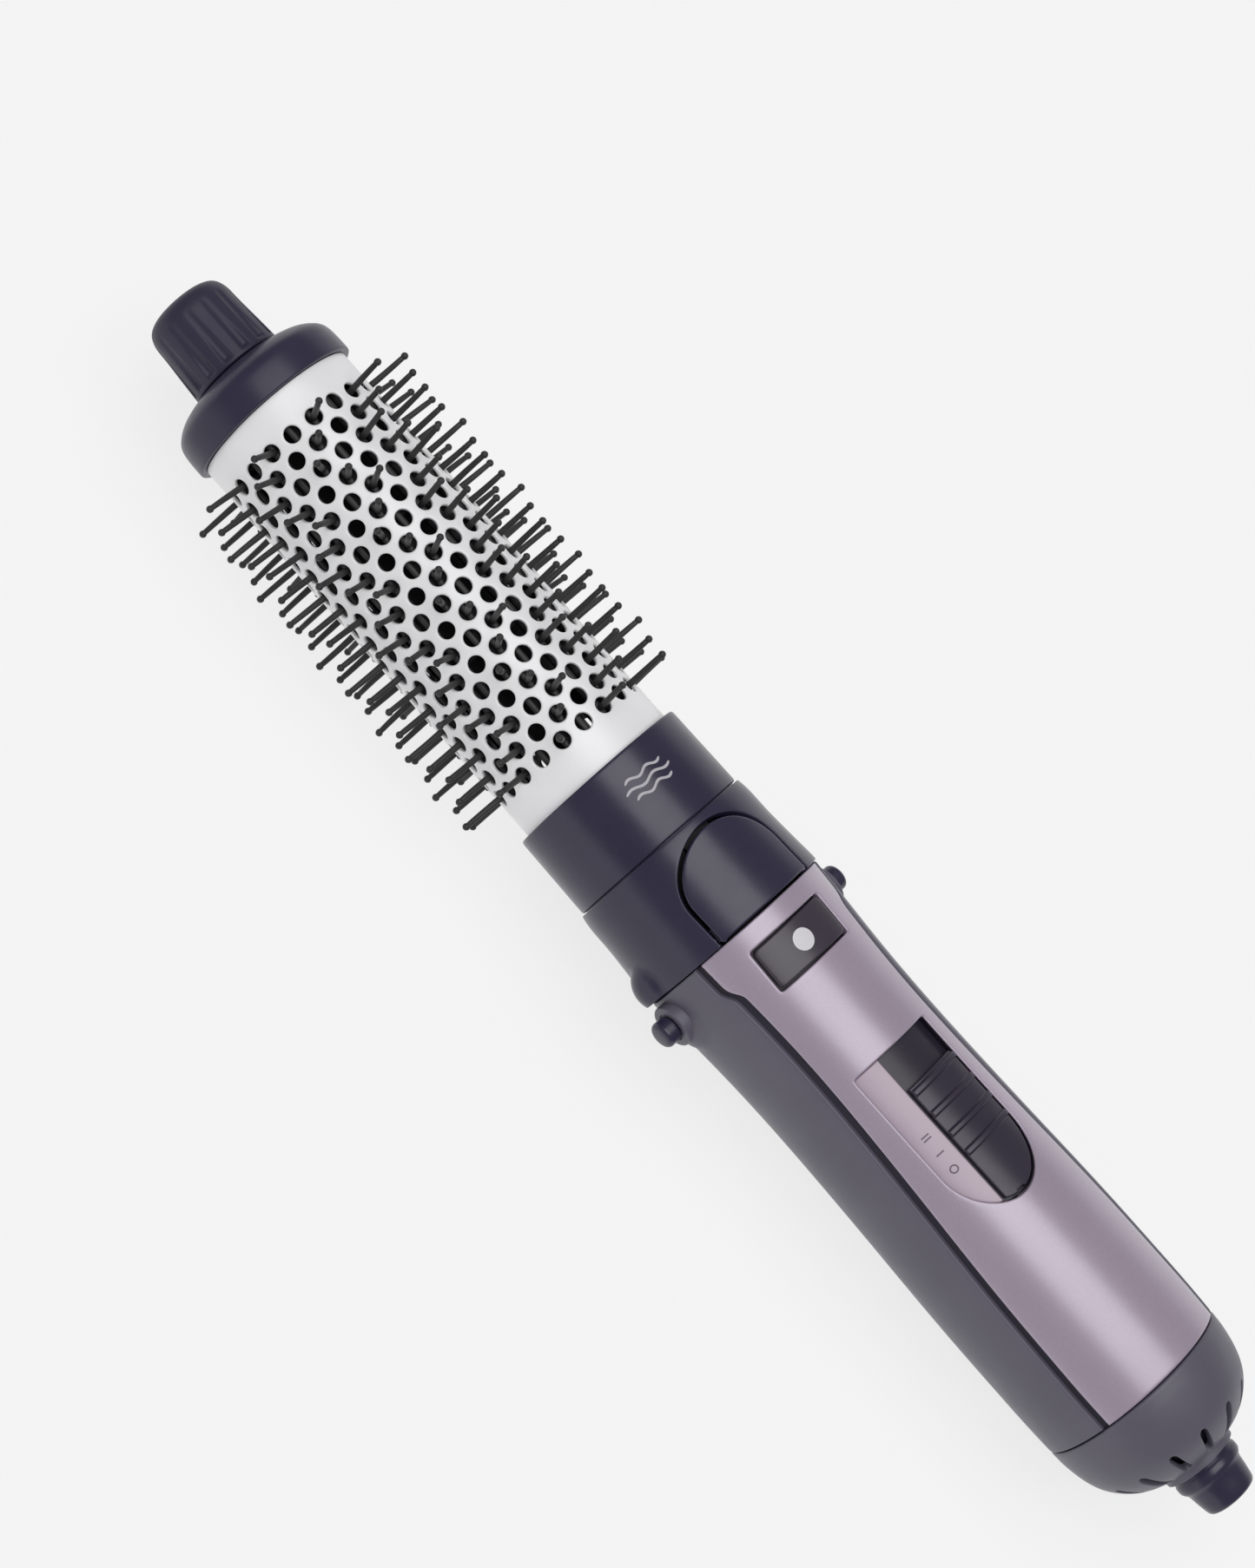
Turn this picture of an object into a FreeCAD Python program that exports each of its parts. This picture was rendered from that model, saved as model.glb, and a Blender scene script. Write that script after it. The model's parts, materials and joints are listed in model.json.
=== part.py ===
"""Hot air brush: a ribbed cool tip, a perforated aluminium barrel with nylon pin strips,
a collar, and a two-shell handle that holds heater, fan, motor and slide switch.

Frame: the brush lies on its pins. +X runs along the axis from tail to tip, +Z is the side
with the slide switch, +Y is the left side. Z = 0 is the table, the origin is under the
middle of the length. Stations "s" are millimetres towards the tail, counted from 2.4 mm
behind the tip face (where the knob gets its full width), and every shape is first drawn about the brush axis (z = 0) and lifted by AXIS_H at export.
"""
import FreeCAD, Part
import math
import os

os.makedirs("parts", exist_ok=True)
V = FreeCAD.Vector

# ---------------------------------------------------------------- driving dimensions (mm)
TIP_S, TAIL_END = -2.4, 330.0      # tip face and end of the cord swivel
LENGTH = TAIL_END - TIP_S         # 332.4 overall
TIP_X = LENGTH / 2.0 + TIP_S      # X of station 0

KNOB_END, KNOB_R0, KNOB_R1 = 16.3, 10.05, 10.8
CAP_END, CAP_R = 28.2, 20.5       # domed end cap of the barrel
BARREL_R, BARREL_WALL, BARREL_END = 19.0, 0.8, 130.2
BARREL_TUCK = 6.8                 # length of barrel held inside the collar
HOLE_R, HOLES_ROUND = 1.9, 20
RINGS, RING_FIRST, RING_LAST = 19, 37.0, 120.5
PIN_R, PIN_BALL = 0.62, 0.8       # nylon pins and their ball ends
PIN_LONG, PIN_SHORT = 29.2, 28.4  # outer radius of the pin rows
RAIL_R0, RAIL_R1, RAIL_W = 16.2, 17.4, 1.4
CAGE_R = 15.9

COLLAR_END, COLLAR_R = 149.85, 21.2
SOCKET_R = 17.5                   # socket in the collar
SPIGOT_R, SPIGOT_BORE = 17.2, 14.4
SPIGOT_S0, SPIGOT_S1 = 139.5, 187.6

NOSE_S0, NOSE_S1 = 150.15, 173.4
SHELL_S0, SHELL_S1, SHELL_T = 173.65, 298.0, 2.2
SEAM_W, SEAM_D = 1.5, 1.3         # open groove between the two shells
# outer radius of the handle along its length
HANDLE = [(173.4, 22.65), (180, 22.35), (190, 21.8), (200, 21.4), (213, 21.25), (226, 21.4),
          (240, 21.72), (255, 22.15), (268, 22.4), (282, 22.45), (291, 22.4), (298, 22.2)]
# outer radius of the nose
NOSE = [(150.15, 21.65), (151.2, 21.85), (158, 22.15), (165, 22.5), (169.5, 22.8),
        (172.2, 22.98), (173.4, 23.0)]

KEY_CX, KEY_A, KEY_B = 164.6, 11.6, 12.9    # arch-shaped release key: half ellipse + sides
KEY_GAP, KEY_SIDE = 1.0, 0.6        # gap round the key in front and at its flanks
PIVOT_S, PIVOT_Z = 179.5, -1.4
PIVOT_R, NUB_R, NUB_Y0, NUB_Y1 = 1.6, 3.0, 24.7, 28.2

WIN_S0, WIN_S1, WIN_Y = 178.2, 188.6, 10.35  # opening of the cool-shot button
MARK_R = 2.45
BUTTON_TRAVEL = 1.4

SW_S0, SW_S1, SW_Y, SW_ROUND = 211.6, 251.4, 10.9, 13.0   # D-shaped switch opening
SW_SPLIT = 4.4                    # label strip beyond this y, slide track before it
SLIDE_S0, SLIDE_S1 = 220.4, 249.8
SLIDE_TRAVEL = 8.4
RIDGES = (221.4, 227.4, 232.7, 237.6)

HEATER_S0, HEATER_S1, HEATER_R = 178.5, 238.0, 13.9
FAN_S0, FAN_S1, FAN_R, BLADES = 249.0, 258.0, 16.9, 9
DUCT_S0, DUCT_S1, DUCT_R = 246.5, 288.0, 17.4
MOTOR_S0, MOTOR_S1, MOTOR_R = 262.0, 286.0, 12.0
SHAFT_R = 1.0

TAIL_S0, TAIL_S1 = 298.3, 318.0
SWIVEL_R, CORD_BORE_R = 7.2, 3.6
SCREWS = [(242.3, 9.0), (242.3, -9.0), (291.5, 9.0), (291.5, -9.0)]

# the lowest pins are the two long rows 9 degrees either side of straight down
AXIS_H = (PIN_LONG - PIN_BALL) * math.cos(math.radians(9.0)) + PIN_BALL


# ---------------------------------------------------------------- helpers
def X(s):
    return TIP_X - s


def revolve_wire(wire):
    return Part.Face(wire).revolve(V(0, 0, 0), V(1, 0, 0), 360.0)


def rev(points):
    """Solid of revolution about the axis from a closed profile of (station, radius)."""
    pts = [V(X(s), 0, r) for s, r in points]
    return revolve_wire(Part.makePolygon(pts + [pts[0]]))


def tube(s0, s1, r_out, r_in=0.0):
    return rev([(s0, r_in), (s0, r_out), (s1, r_out), (s1, r_in)])


def spline(points, offset):
    c = Part.BSplineCurve()
    c.interpolate([V(X(s), 0, r - offset) for s, r in points])
    return c


def radius_at(points, s):
    for (a, ra), (b, rb) in zip(points, points[1:]):
        if a <= s <= b:
            return ra + (rb - ra) * (s - a) / (b - a)
    return points[0][1] if s < points[0][0] else points[-1][1]


def skin(points, out, inn, s0=None, s1=None):
    """Shell of revolution between two offsets of a profile, trimmed to stations s0..s1."""
    a, b = spline(points, out), spline(points, inn)
    p0, p1 = a.StartPoint, a.EndPoint
    q0, q1 = b.StartPoint, b.EndPoint
    w = Part.Wire([a.toShape(), Part.makeLine(p1, q1), b.toShape().reversed(),
                   Part.makeLine(q0, p0)])
    solid = revolve_wire(Part.Wire(Part.__sortEdges__(w.Edges)))
    if s0 is not None:
        solid = solid.common(Part.makeBox(s1 - s0, 80, 80, V(X(s1), -40, -40)))
    return solid


def box(s0, s1, y0, y1, z0, z1):
    return Part.makeBox(abs(s1 - s0), y1 - y0, z1 - z0, V(X(max(s0, s1)), y0, z0))


def cyl_x(s0, s1, r, y=0.0, z=0.0):
    return Part.makeCylinder(r, s1 - s0, V(X(s1), y, z), V(1, 0, 0))


def cyl_y(s, z, r, y0, y1):
    return Part.makeCylinder(r, y1 - y0, V(X(s), y0, z), V(0, 1, 0))


def cyl_z(s, y, r, z0, z1):
    return Part.makeCylinder(r, z1 - z0, V(X(s), y, z0), V(0, 0, 1))


def plan_prism(edges_pts, z0=2.0, z1=40.0):
    """Upright prism over a closed outline given as (station, y) points."""
    pts = [V(X(s), y, z0) for s, y in edges_pts]
    return Part.Face(Part.makePolygon(pts + [pts[0]])).extrude(V(0, 0, z1 - z0))


def plan_arch(cs, a, b, s_end, z0=2.0, z1=40.0):
    """Upright prism: half ellipse towards the tip, straight sides to s_end."""
    el = Part.Ellipse(V(X(cs), 0, z0), a, b) if a >= b else None
    if el is None:
        el = Part.Ellipse(V(X(cs), b, z0), V(X(cs) + a, 0, z0), V(X(cs), 0, z0))
    arc = [V(X(cs) + a * math.cos(t), b * math.sin(t), z0)
           for t in [math.radians(-90 + 5 * i) for i in range(37)]]
    c = Part.BSplineCurve()
    c.interpolate(arc)
    p0, p1 = arc[0], arc[-1]
    q0, q1 = V(X(s_end), -b, z0), V(X(s_end), b, z0)
    w = Part.Wire([c.toShape(), Part.makeLine(p1, q1), Part.makeLine(q1, q0),
                   Part.makeLine(q0, p0)])
    return Part.Face(w).extrude(V(0, 0, z1 - z0))


def plan_d(s0, s1, half_y, rounding, z0=2.0, z1=40.0):
    """Upright prism: flat end towards the tip at s0, half-elliptic end at s1."""
    cs = s1 - rounding
    arc = [V(X(cs) - rounding * math.cos(t), half_y * math.sin(t), z0)
           for t in [math.radians(-90 + 5 * i) for i in range(37)]]
    c = Part.BSplineCurve()
    c.interpolate(arc)
    p0, p1 = arc[0], arc[-1]
    q0, q1 = V(X(s0), -half_y, z0), V(X(s0), half_y, z0)
    w = Part.Wire([c.toShape(), Part.makeLine(p1, q1), Part.makeLine(q1, q0),
                   Part.makeLine(q0, p0)])
    return Part.Face(w).extrude(V(0, 0, z1 - z0))


def rot_x(shape, deg):
    s = shape.copy()
    s.rotate(V(0, 0, 0), V(1, 0, 0), deg)
    return s


def fuse(shapes):
    out = shapes[0]
    if len(shapes) > 1:
        out = out.fuse(shapes[1:])
    return out.removeSplitter()


DONE = {}


def save(name, shape, lift=True):
    """Writes one node; a list gives separate solids in one node."""
    if isinstance(shape, (list, tuple)):
        solids = [x for sh in shape for x in sh.Solids]
    else:
        solids = shape.Solids
    for s in solids:
        if not s.isValid() or s.Volume <= 0:
            print("BAD SOLID", name, s.isValid(), s.Volume)
    out = solids[0] if len(solids) == 1 else Part.makeCompound(solids)
    out = out.copy()
    out.translate(V(0, 0, AXIS_H))
    out.exportStep("parts/%s.step" % name)
    DONE[name] = (len(solids), sum(s.Volume for s in solids))


# ---------------------------------------------------------------- brush head
# cool tip: hollow ribbed knob with a screw post inside
knob = rev([(TIP_S, 0.0), (TIP_S, 6.5), (-2.2, 7.35), (-1.7, 8.3), (-0.9, 9.1), (0.0, 9.6), (0.9, 9.87),
            (1.8, 9.98), (3.6, KNOB_R0), (KNOB_END, KNOB_R1), (KNOB_END, 8.0), (0.4, 7.6), (0.4, 3.2),
            (KNOB_END, 3.2), (KNOB_END, 0.0)])
ring_groove = rev([(TIP_S - 1, 5.2), (TIP_S - 1, 5.9), (TIP_S + 0.45, 5.75), (TIP_S + 0.45, 5.35)])
flutes = [rot_x(Part.makeCylinder(1.35, 14.0, V(X(15.2), 0, 11.35), V(1, 0, 0.0)), k * 360.0 / 14)
          for k in range(14)]
knob = knob.cut(flutes + [ring_groove, cyl_x(4.5, KNOB_END + 1, 1.25)])
save("cool_tip_knob", knob)

# domed end cap with the skirt that centres the barrel
end_cap = rev([(16.6, 0.0), (16.6, 10.6), (16.85, 12.0), (17.25, 13.7), (17.8, 15.4), (18.5, 17.0), (19.4, 18.4),
               (20.4, 19.4), (21.6, 20.05), (23.2, 20.35), (25.6, 20.48), (CAP_END, CAP_R), (CAP_END, 18.1),
               (33.0, 18.1),
               (33.0, 16.5), (CAP_END, 16.5), (24.0, 16.2), (20.6, 13.2), (19.2, 9.6),
               (19.0, 4.0), (30.0, 4.0), (30.0, 0.0)])
end_cap = end_cap.cut(cyl_x(16, 31, 1.6))
save("barrel_end_cap", end_cap)

# perforated barrel: rings of round holes, alternate rings shifted half a pitch
barrel = tube(CAP_END + 0.02, BARREL_END + BARREL_TUCK, BARREL_R, BARREL_R - BARREL_WALL)
pitch = (RING_LAST - RING_FIRST) / (RINGS - 1)
step = 360.0 / HOLES_ROUND
punches = []
for i in range(RINGS):
    s = RING_FIRST + i * pitch
    first = step / 2 if i % 2 == 0 else 0.0
    for k in range(HOLES_ROUND):
        c = Part.makeCylinder(HOLE_R, 3.0, V(X(s), 0, 17.2), V(0, 0, 1))
        punches.append(rot_x(c, -(first + k * step)))
barrel = barrel.cut(punches)
save("barrel", barrel)


# pin strips: a rail inside the barrel with one pin through every hole of its row
def pin_strip(stations, r_tip):
    rail = box(RING_FIRST - 2.4, RING_LAST + 2.4, -RAIL_W / 2, RAIL_W / 2, RAIL_R0, RAIL_R1)
    rc = r_tip - PIN_BALL
    pins = []
    for s in stations:
        pins.append(cyl_z(s, 0, PIN_R, RAIL_R0 + 0.4, rc))
        pins.append(Part.makeSphere(PIN_BALL, V(X(s), 0, rc)))
    return rail.fuse(pins)


# every second hole of a ring carries a pin, the holes between let the air out
ring_s = [RING_FIRST + i * pitch for i in range(RINGS)]
strip_a, strip_b = pin_strip(ring_s[0::4], PIN_LONG), pin_strip(ring_s[2::4], PIN_LONG)
strip_c = pin_strip(ring_s[1::2], PIN_SHORT)
save("bristle_strips_long", [rot_x(strip_a if k % 2 == 0 else strip_b, -(step / 2 + k * step))
                             for k in range(HOLES_ROUND)])
save("bristle_strips_short", [rot_x(strip_c, -k * step) for k in range(1, HOLES_ROUND, 2)])

# cage that backs the rails: front disc, three hoops and ten bars
cage = [tube(30.4, 32.2, CAGE_R, 1.6), tube(62.0, 64.0, CAGE_R, CAGE_R - 1.6),
        tube(94.0, 96.0, CAGE_R, CAGE_R - 1.6), tube(133.5, 136.8, CAGE_R, CAGE_R - 1.6)]
cage += [rot_x(box(31.0, 135.0, -1.1, 1.1, CAGE_R - 1.5, CAGE_R - 0.15), k * 36.0 + 13.5)
         for k in range(10)]
# air guide in the middle of the cage: closed cone that turns the air out to the holes,
# joined to the front disc, with four small windows behind the disc
guide = rev([(31.0, 9.2), (31.0, 10.6), (60.0, 10.4), (90.0, 9.8), (108.0, 8.4), (118.0, 6.0), (122.6, 2.6),
             (123.4, 0.0), (121.9, 0.0), (121.3, 1.9), (117.0, 4.8), (107.2, 7.1), (89.6, 8.4), (60.0, 9.0)])
guide = guide.cut([rot_x(box(32.8, 35.4, -1.5, 1.5, 8.0, 12.0), k * 90.0 + 45.0) for k in range(4)])
save("bristle_cage", fuse(cage + [guide]))

# screw that ties knob, end cap and cage together
tip_screw = fuse([cyl_x(32.3, 34.2, 3.0), cyl_x(6.0, 32.6, 1.2)])
tip_screw = tip_screw.cut([box(33.4, 35, -0.35, 0.35, -2.2, 2.2), box(33.4, 35, -2.2, 2.2, -0.35, 0.35)])
save("tip_screw", tip_screw)

# collar with the barrel seat, the socket for the spigot and the pocket for the catch
collar = rev([(BARREL_END, BARREL_R + 0.03), (BARREL_END, 20.55), (130.7, 20.85), (131.6, 20.95),
              (148.9, COLLAR_R), (149.5, 21.05), (COLLAR_END, 20.7), (COLLAR_END, SOCKET_R + 0.5),
              (149.2, SOCKET_R), (138.6, SOCKET_R), (138.6, 16.3), (137.1, 16.3),
              (137.1, BARREL_R + 0.03)])
collar = collar.cut(box(143.6, 147.0, -4.6, 4.6, 16.0, 18.95))
save("head_collar", collar)

# ---------------------------------------------------------------- outlet end of the handle
outlet = tube(SPIGOT_S0 + 1.0, SPIGOT_S1, SPIGOT_R, SPIGOT_BORE)
outlet = fuse([outlet, rev([(SPIGOT_S0, SPIGOT_BORE), (SPIGOT_S0, 16.6), (SPIGOT_S0 + 1.0, SPIGOT_R),
                            (SPIGOT_S0 + 1.0, SPIGOT_BORE)]),
               tube(154.0, 156.2, 18.75, SPIGOT_R - 0.5).cut(box(150, 160, -30, 30, 9.0, 30))])
outlet = outlet.cut([box(138.0, 163.0, -4.4, 4.4, 15.55, 20),      # room for the catch leaf
                     box(162.9, 171.2, -4.4, 4.4, 16.32, 20),      # its seat
                     box(180.0, 187.2, -3.0, 3.0, 16.9, 20)])      # seat of the button spring

grille = [tube(141.0, 142.6, SPIGOT_BORE - 0.05, 13.2), tube(141.0, 142.6, 9.2, 8.0),
          tube(141.0, 142.6, 4.2, 3.0)]
grille += [rot_x(box(141.0, 142.6, -0.6, 0.6, 3.2, 13.8), k * 45.0) for k in range(8)]
save("outlet_grille", fuse(grille))

# leaf that catches the collar: flat strip with an upright hook at its free end
latch = fuse([box(144.4, 170.4, -4.0, 4.0, 16.35, 16.85), box(144.4, 146.2, -3.6, 3.6, 16.6, 18.2)])
rivets = [fuse([cyl_z(s, 0, 1.7, 16.87, 17.45), cyl_z(s, 0, 0.8, 15.4, 16.9)]) for s in (166.0, 169.0)]
leaf_holes = [cyl_z(s, 0, 0.82, 15.0, 17.0) for s in (166.0, 169.0)]
save("latch_spring", latch.cut(leaf_holes))
save("outlet_spigot", outlet.cut([cyl_z(s, 0, 0.82, 15.35, 17.0) for s in (166.0, 169.0)]))
save("latch_rivets", rivets)

# nose: flared ring with side fairings, open arch for the key, lip into the shells
nose = skin(NOSE, 0.0, 1.85)
front_wall = rev([(150.15, SOCKET_R), (150.15, 21.2), (151.9, 21.2), (151.9, SOCKET_R)])
fairings = []
for side in (1, -1):
    fairings.append(Part.makeSphere(6.5, V(X(171.0), side * 19.2, PIVOT_Z)))
fair = fuse(fairings).common(box(160.0, NOSE_S1, -40, 40, -30, 30))
fair = fair.cut(rev([(150, 0), (150, 19.9), (158, 20.6), (165, 21.0), (173.5, 21.6), (175, 21.6), (175, 0)]))
lip = tube(172.6, 176.0, 20.0, 18.8).common(box(170, 178, -30, 30, -30, -7.0))
lip = lip.fuse(tube(172.0, 173.2, 21.4, 18.8).common(box(170, 178, -30, 30, -30, -7.0)))
nose = fuse([nose, front_wall, fair, lip])
nose = nose.cut(plan_arch(KEY_CX, KEY_A + KEY_GAP, KEY_B + KEY_SIDE, 176.0, z0=4.0))
save("nose_ring", nose)

# release key: arch pad, half ring under the nose, two arms back to the pivot pins
pad = skin(NOSE, -0.15, 1.7).common(plan_arch(KEY_CX, KEY_A, KEY_B, 173.0, z0=4.0))
half = tube(169.4, 172.7, 20.1, 18.6).common(box(160, 180, -30, 30, -4.2, 30))
bridge = tube(169.4, 172.7, 21.9, 19.5).common(box(160, 180, -12.3, 12.3, 5, 30))
arms = [box(169.5, PIVOT_S + 2.7, 17.8, 19.2, PIVOT_Z - 2.8, PIVOT_Z + 2.8),
        box(169.5, PIVOT_S + 2.7, -19.2, -17.8, PIVOT_Z - 2.8, PIVOT_Z + 2.8)]
post = box(154.6, 157.4, -2.0, 2.0, 17.2, 20.9)
key = fuse([pad, half, bridge] + arms + [post])
key = key.cut([cyl_y(PIVOT_S, PIVOT_Z, PIVOT_R + 0.06, -30, 30)])
save("release_key", key)

# pivot pins with round dark heads that stand out at both sides
pins = []
for side in (1, -1):
    p = fuse([cyl_y(PIVOT_S, PIVOT_Z, PIVOT_R, 17.5, NUB_Y0 + 0.5),
              cyl_y(PIVOT_S, PIVOT_Z, NUB_R, NUB_Y0, NUB_Y1)])
    edges = [e for e in p.Edges if abs(e.BoundBox.YMin - NUB_Y1) < 1e-4 and abs(e.BoundBox.YMax - NUB_Y1) < 1e-4]
    p = p.makeFillet(1.1, edges)
    if side < 0:
        p = p.mirror(V(0, 0, 0), V(0, 1, 0))
    pins.append(p)
save("pivot_pins", pins)

# ---------------------------------------------------------------- handle shells
SEAM = [(173.0, 13.4), (181.0, 13.4), (184.0, 14.9), (282.0, 13.5), (299.0, 13.25)]


def above_seam(shift):
    pts = [V(X(s), -30, z + shift) for s, z in SEAM]
    pts = [V(X(SEAM[0][0]), -30, 40)] + pts + [V(X(SEAM[-1][0]), -30, 40)]
    return Part.Face(Part.makePolygon(pts + [pts[0]])).extrude(V(0, 60, 0))


outer = skin(HANDLE, 0.0, SEAM_D, SHELL_S0, SHELL_S1)
inner = skin(HANDLE, SEAM_D, SHELL_T, SHELL_S0, SHELL_S1)
front = fuse([outer.common(above_seam(SEAM_W / 2)), inner.common(above_seam(0.0))])
rear = fuse([outer.cut(above_seam(-SEAM_W / 2)), inner.cut(above_seam(0.0))])
core = rev([(170, 0), (170, 20.3)] + [(s, r - SHELL_T + 0.02) for s, r in HANDLE] + [(300, 19.9), (300, 0)])

# front shell: window for the button, D-shaped opening for the switch, screw posts
filled = rev([(SHELL_S0, 0)] + [(s, r - 1.9) for s, r in HANDLE] + [(SHELL_S1, 0)])
posts_f = [cyl_z(s, y, 2.6, 5.2, 30).common(filled) for s, y in SCREWS]
front = fuse([front] + posts_f)
front = front.cut([box(WIN_S0, WIN_S1, -WIN_Y, WIN_Y, 5, 40),
                   plan_d(SW_S0, SW_S1, SW_Y, SW_ROUND)] +
                  [cyl_z(s, y, 0.95, 4.0, 14.5) for s, y in SCREWS])
save("front_shell", front)

# rear shell: bosses for the pivot pins, rib round the spigot, screw posts from below
boss = []
for side in (1, -1):
    b = fuse([cyl_y(PIVOT_S, PIVOT_Z, 4.9, 15.0, NUB_Y0 - 0.05) if side > 0 else
              cyl_y(PIVOT_S, PIVOT_Z, 4.9, -NUB_Y0 + 0.05, -15.0),
              Part.makeSphere(8.0, V(X(182.1), side * 16.0, PIVOT_Z))])
    boss.append(b.common(box(SHELL_S0, 200, -40, 40, -30, 12)).cut(core))
rib = tube(184.4, 186.6, 20.4, SPIGOT_R + 0.05).common(box(180, 190, -30, 30, -30, 12.0))
posts_r = [cyl_z(s, y, 2.6, -30, 5.0).common(filled) for s, y in SCREWS]
rear = fuse([rear] + boss + [rib] + posts_r)
rear = rear.cut([cyl_y(PIVOT_S, PIVOT_Z, PIVOT_R + 0.02, -30, 30)] +
                [cyl_z(s, y, 1.15, -30, 6.0) for s, y in SCREWS] +
                [cyl_z(s, y, 2.0, -30, -14.5) for s, y in SCREWS])
save("rear_shell", rear)
screws = [fuse([cyl_z(s, y, 1.9, -16.6, -14.55), cyl_z(s, y, 0.92, -14.8, 12.0)]).cut(
    [box(s - 1.3, s + 1.3, y - 0.3, y + 0.3, -17, -15.9), box(s - 0.3, s + 0.3, y - 1.3, y + 1.3, -17, -15.9)])
    for s, y in SCREWS]
save("housing_screws", screws)

# ---------------------------------------------------------------- cool-shot button
cap = skin(HANDLE, 0.05, 3.1, 176.0, 190.0)
button = cap.common(box(WIN_S0 + 0.45, WIN_S1 - 0.45, -WIN_Y + 0.4, WIN_Y - 0.4, 5, 40))
flange = skin(HANDLE, 2.5, 3.1, 176.0, 190.5).common(box(WIN_S0 - 0.7, WIN_S1 + 0.6, -11.1, 11.1, 5, 40))
arm = box(187.9, 191.0, -2.0, 2.0, 17.95, 19.1)
button = fuse([button, flange, arm])
button = button.cut(cyl_z(183.4, 0, MARK_R + 0.02, 21.3, 30))
save("cool_button", button)
mark = skin(HANDLE, 0.0, 3.0, 176.0, 190.0).common(cyl_z(183.4, 0, MARK_R, 21.32, 30))
save("cool_button_mark", mark)


def coil(s, y, z0, z1, r, wire, turns):
    """Spring drawn as closed coils joined side to side."""
    parts, dz = [], (z1 - z0 - 2 * wire) / (turns - 1)
    for k in range(turns):
        z = z0 + wire + k * dz
        parts.append(Part.makeTorus(r, wire, V(X(s), y, z), V(0, 0, 1)))
        if k < turns - 1:
            a = math.pi * (k % 2)
            parts.append(Part.makeCylinder(wire * 0.8, dz, V(X(s) + r * math.cos(a), y + r * math.sin(a), z), V(0, 0, 1)))
    return fuse(parts)


save("button_spring", coil(183.4, 0, 16.95, 18.85, 2.0, 0.22, 3))

# ---------------------------------------------------------------- slide switch
opening = plan_d(SW_S0 + 0.12, SW_S1 - 0.12, SW_Y - 0.12, SW_ROUND - 0.1)
strip = skin(HANDLE, 0.9, 2.15, 205, 256).common(opening).common(box(205, 256, SW_SPLIT + 0.15, 12, 2, 40))
save("switch_label_strip", strip)
track = skin(HANDLE, 1.85, 2.6, 205, 256).common(opening).common(box(205, 256, -12, SW_SPLIT - 0.0, 2, 40))
stem_y = -3.2
track = track.cut(box(222.6, 237.4, stem_y - 1.5, stem_y + 1.5, 5, 40))
save("switch_track", track)
outline = plan_d(SLIDE_S0, SLIDE_S1 + 0.9, SW_Y - 0.55, SW_ROUND).common(box(205, 256, -12, SW_SPLIT - 0.35, 2, 40))
slider = [skin(HANDLE, 0.35, 1.5, 205, 256).common(outline)]
for s in RIDGES:
    slider.append(skin(HANDLE, -0.35, 0.8, 205, 256).common(outline).common(box(s - 0.75, s + 0.75, -12, 12, 2, 40)))
slider.append(box(232.0, 236.4, stem_y - 1.1, stem_y + 1.1, 16.5, 19.6))
save("switch_slider", fuse(slider))

board = box(188.2, 238.0, -8.6, 8.6, 14.4, 15.4).cut([box(187, 190.2, 7.2, 10, 14, 16), box(187, 190.2, -10, -7.2, 14, 16)])
save("circuit_board", board)
sw_body = box(220.0, 240.0 - 2.2, stem_y - 2.7, stem_y + 2.7, 15.42, 17.15)
sw_body = sw_body.cut(box(222.4, 237.2, stem_y - 1.45, stem_y + 1.45, 16.1, 18))
save("switch_body", sw_body)
save("cool_switch", fuse([box(188.5, 191.3, -1.6, 1.6, 15.42, 16.0), cyl_z(189.7, 0, 0.8, 15.9, 16.2)]))
save("rectifier_diodes", [cyl_x(200.0 + 5.0 * k, 204.0 + 5.0 * k, 1.1, y, 16.53) for k in range(2) for y in (-4.5, 4.5)])

# ---------------------------------------------------------------- heater
save("heater_tube", tube(HEATER_S0, HEATER_S1, HEATER_R, HEATER_R - 0.7))
former = fuse([box(181.0, 236.0, -0.4, 0.4, -11.9, 11.9), box(181.0, 236.0, -11.9, 11.9, -0.4, 0.4)])
save("heater_former", former)
save("heater_coils", [Part.makeTorus(12.45, 0.38, V(X(186.0 + 4.0 * k), 0, 0), V(1, 0, 0)) for k in range(12)])
save("thermostat", fuse([cyl_x(183.0, 187.5, 3.4, 4.4, 4.4), box(182.0, 188.5, 3.2, 5.6, 1.2, 2.6)]))
save("thermal_fuse", fuse([cyl_x(196.0, 206.0, 1.8, -4.2, 4.2), cyl_x(192.0, 210.0, 0.4, -4.2, 4.2)]))

# ---------------------------------------------------------------- fan and motor
duct = [tube(DUCT_S0, DUCT_S1, 18.6, DUCT_R), tube(266.0, 284.0, MOTOR_R + 1.2, MOTOR_R + 0.05)]
duct += [rot_x(box(266.0, 284.0, -0.6, 0.6, MOTOR_R + 0.8, DUCT_R + 0.4), k * 60.0) for k in range(6)]
save("motor_mount", fuse(duct))
can = rev([(MOTOR_S0, SHAFT_R + 0.06), (MOTOR_S0, 3.0), (MOTOR_S0 + 1.2, 3.0), (MOTOR_S0 + 1.2, MOTOR_R),
           (MOTOR_S1, MOTOR_R), (MOTOR_S1, MOTOR_R - 1.0), (MOTOR_S0 + 2.2, MOTOR_R - 1.0),
           (MOTOR_S0 + 2.2, SHAFT_R + 0.06)])
save("motor_can", can)
endbell = rev([(MOTOR_S1 + 0.02, SHAFT_R + 0.06), (MOTOR_S1 + 0.02, MOTOR_R - 0.1), (MOTOR_S1 + 2.0, MOTOR_R - 0.1),
               (MOTOR_S1 + 2.0, 4.0), (MOTOR_S1 + 4.2, 3.4), (MOTOR_S1 + 4.2, 0.0), (MOTOR_S1 + 3.2, 0.0),
               (MOTOR_S1 + 3.2, SHAFT_R + 0.06)])
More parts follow.
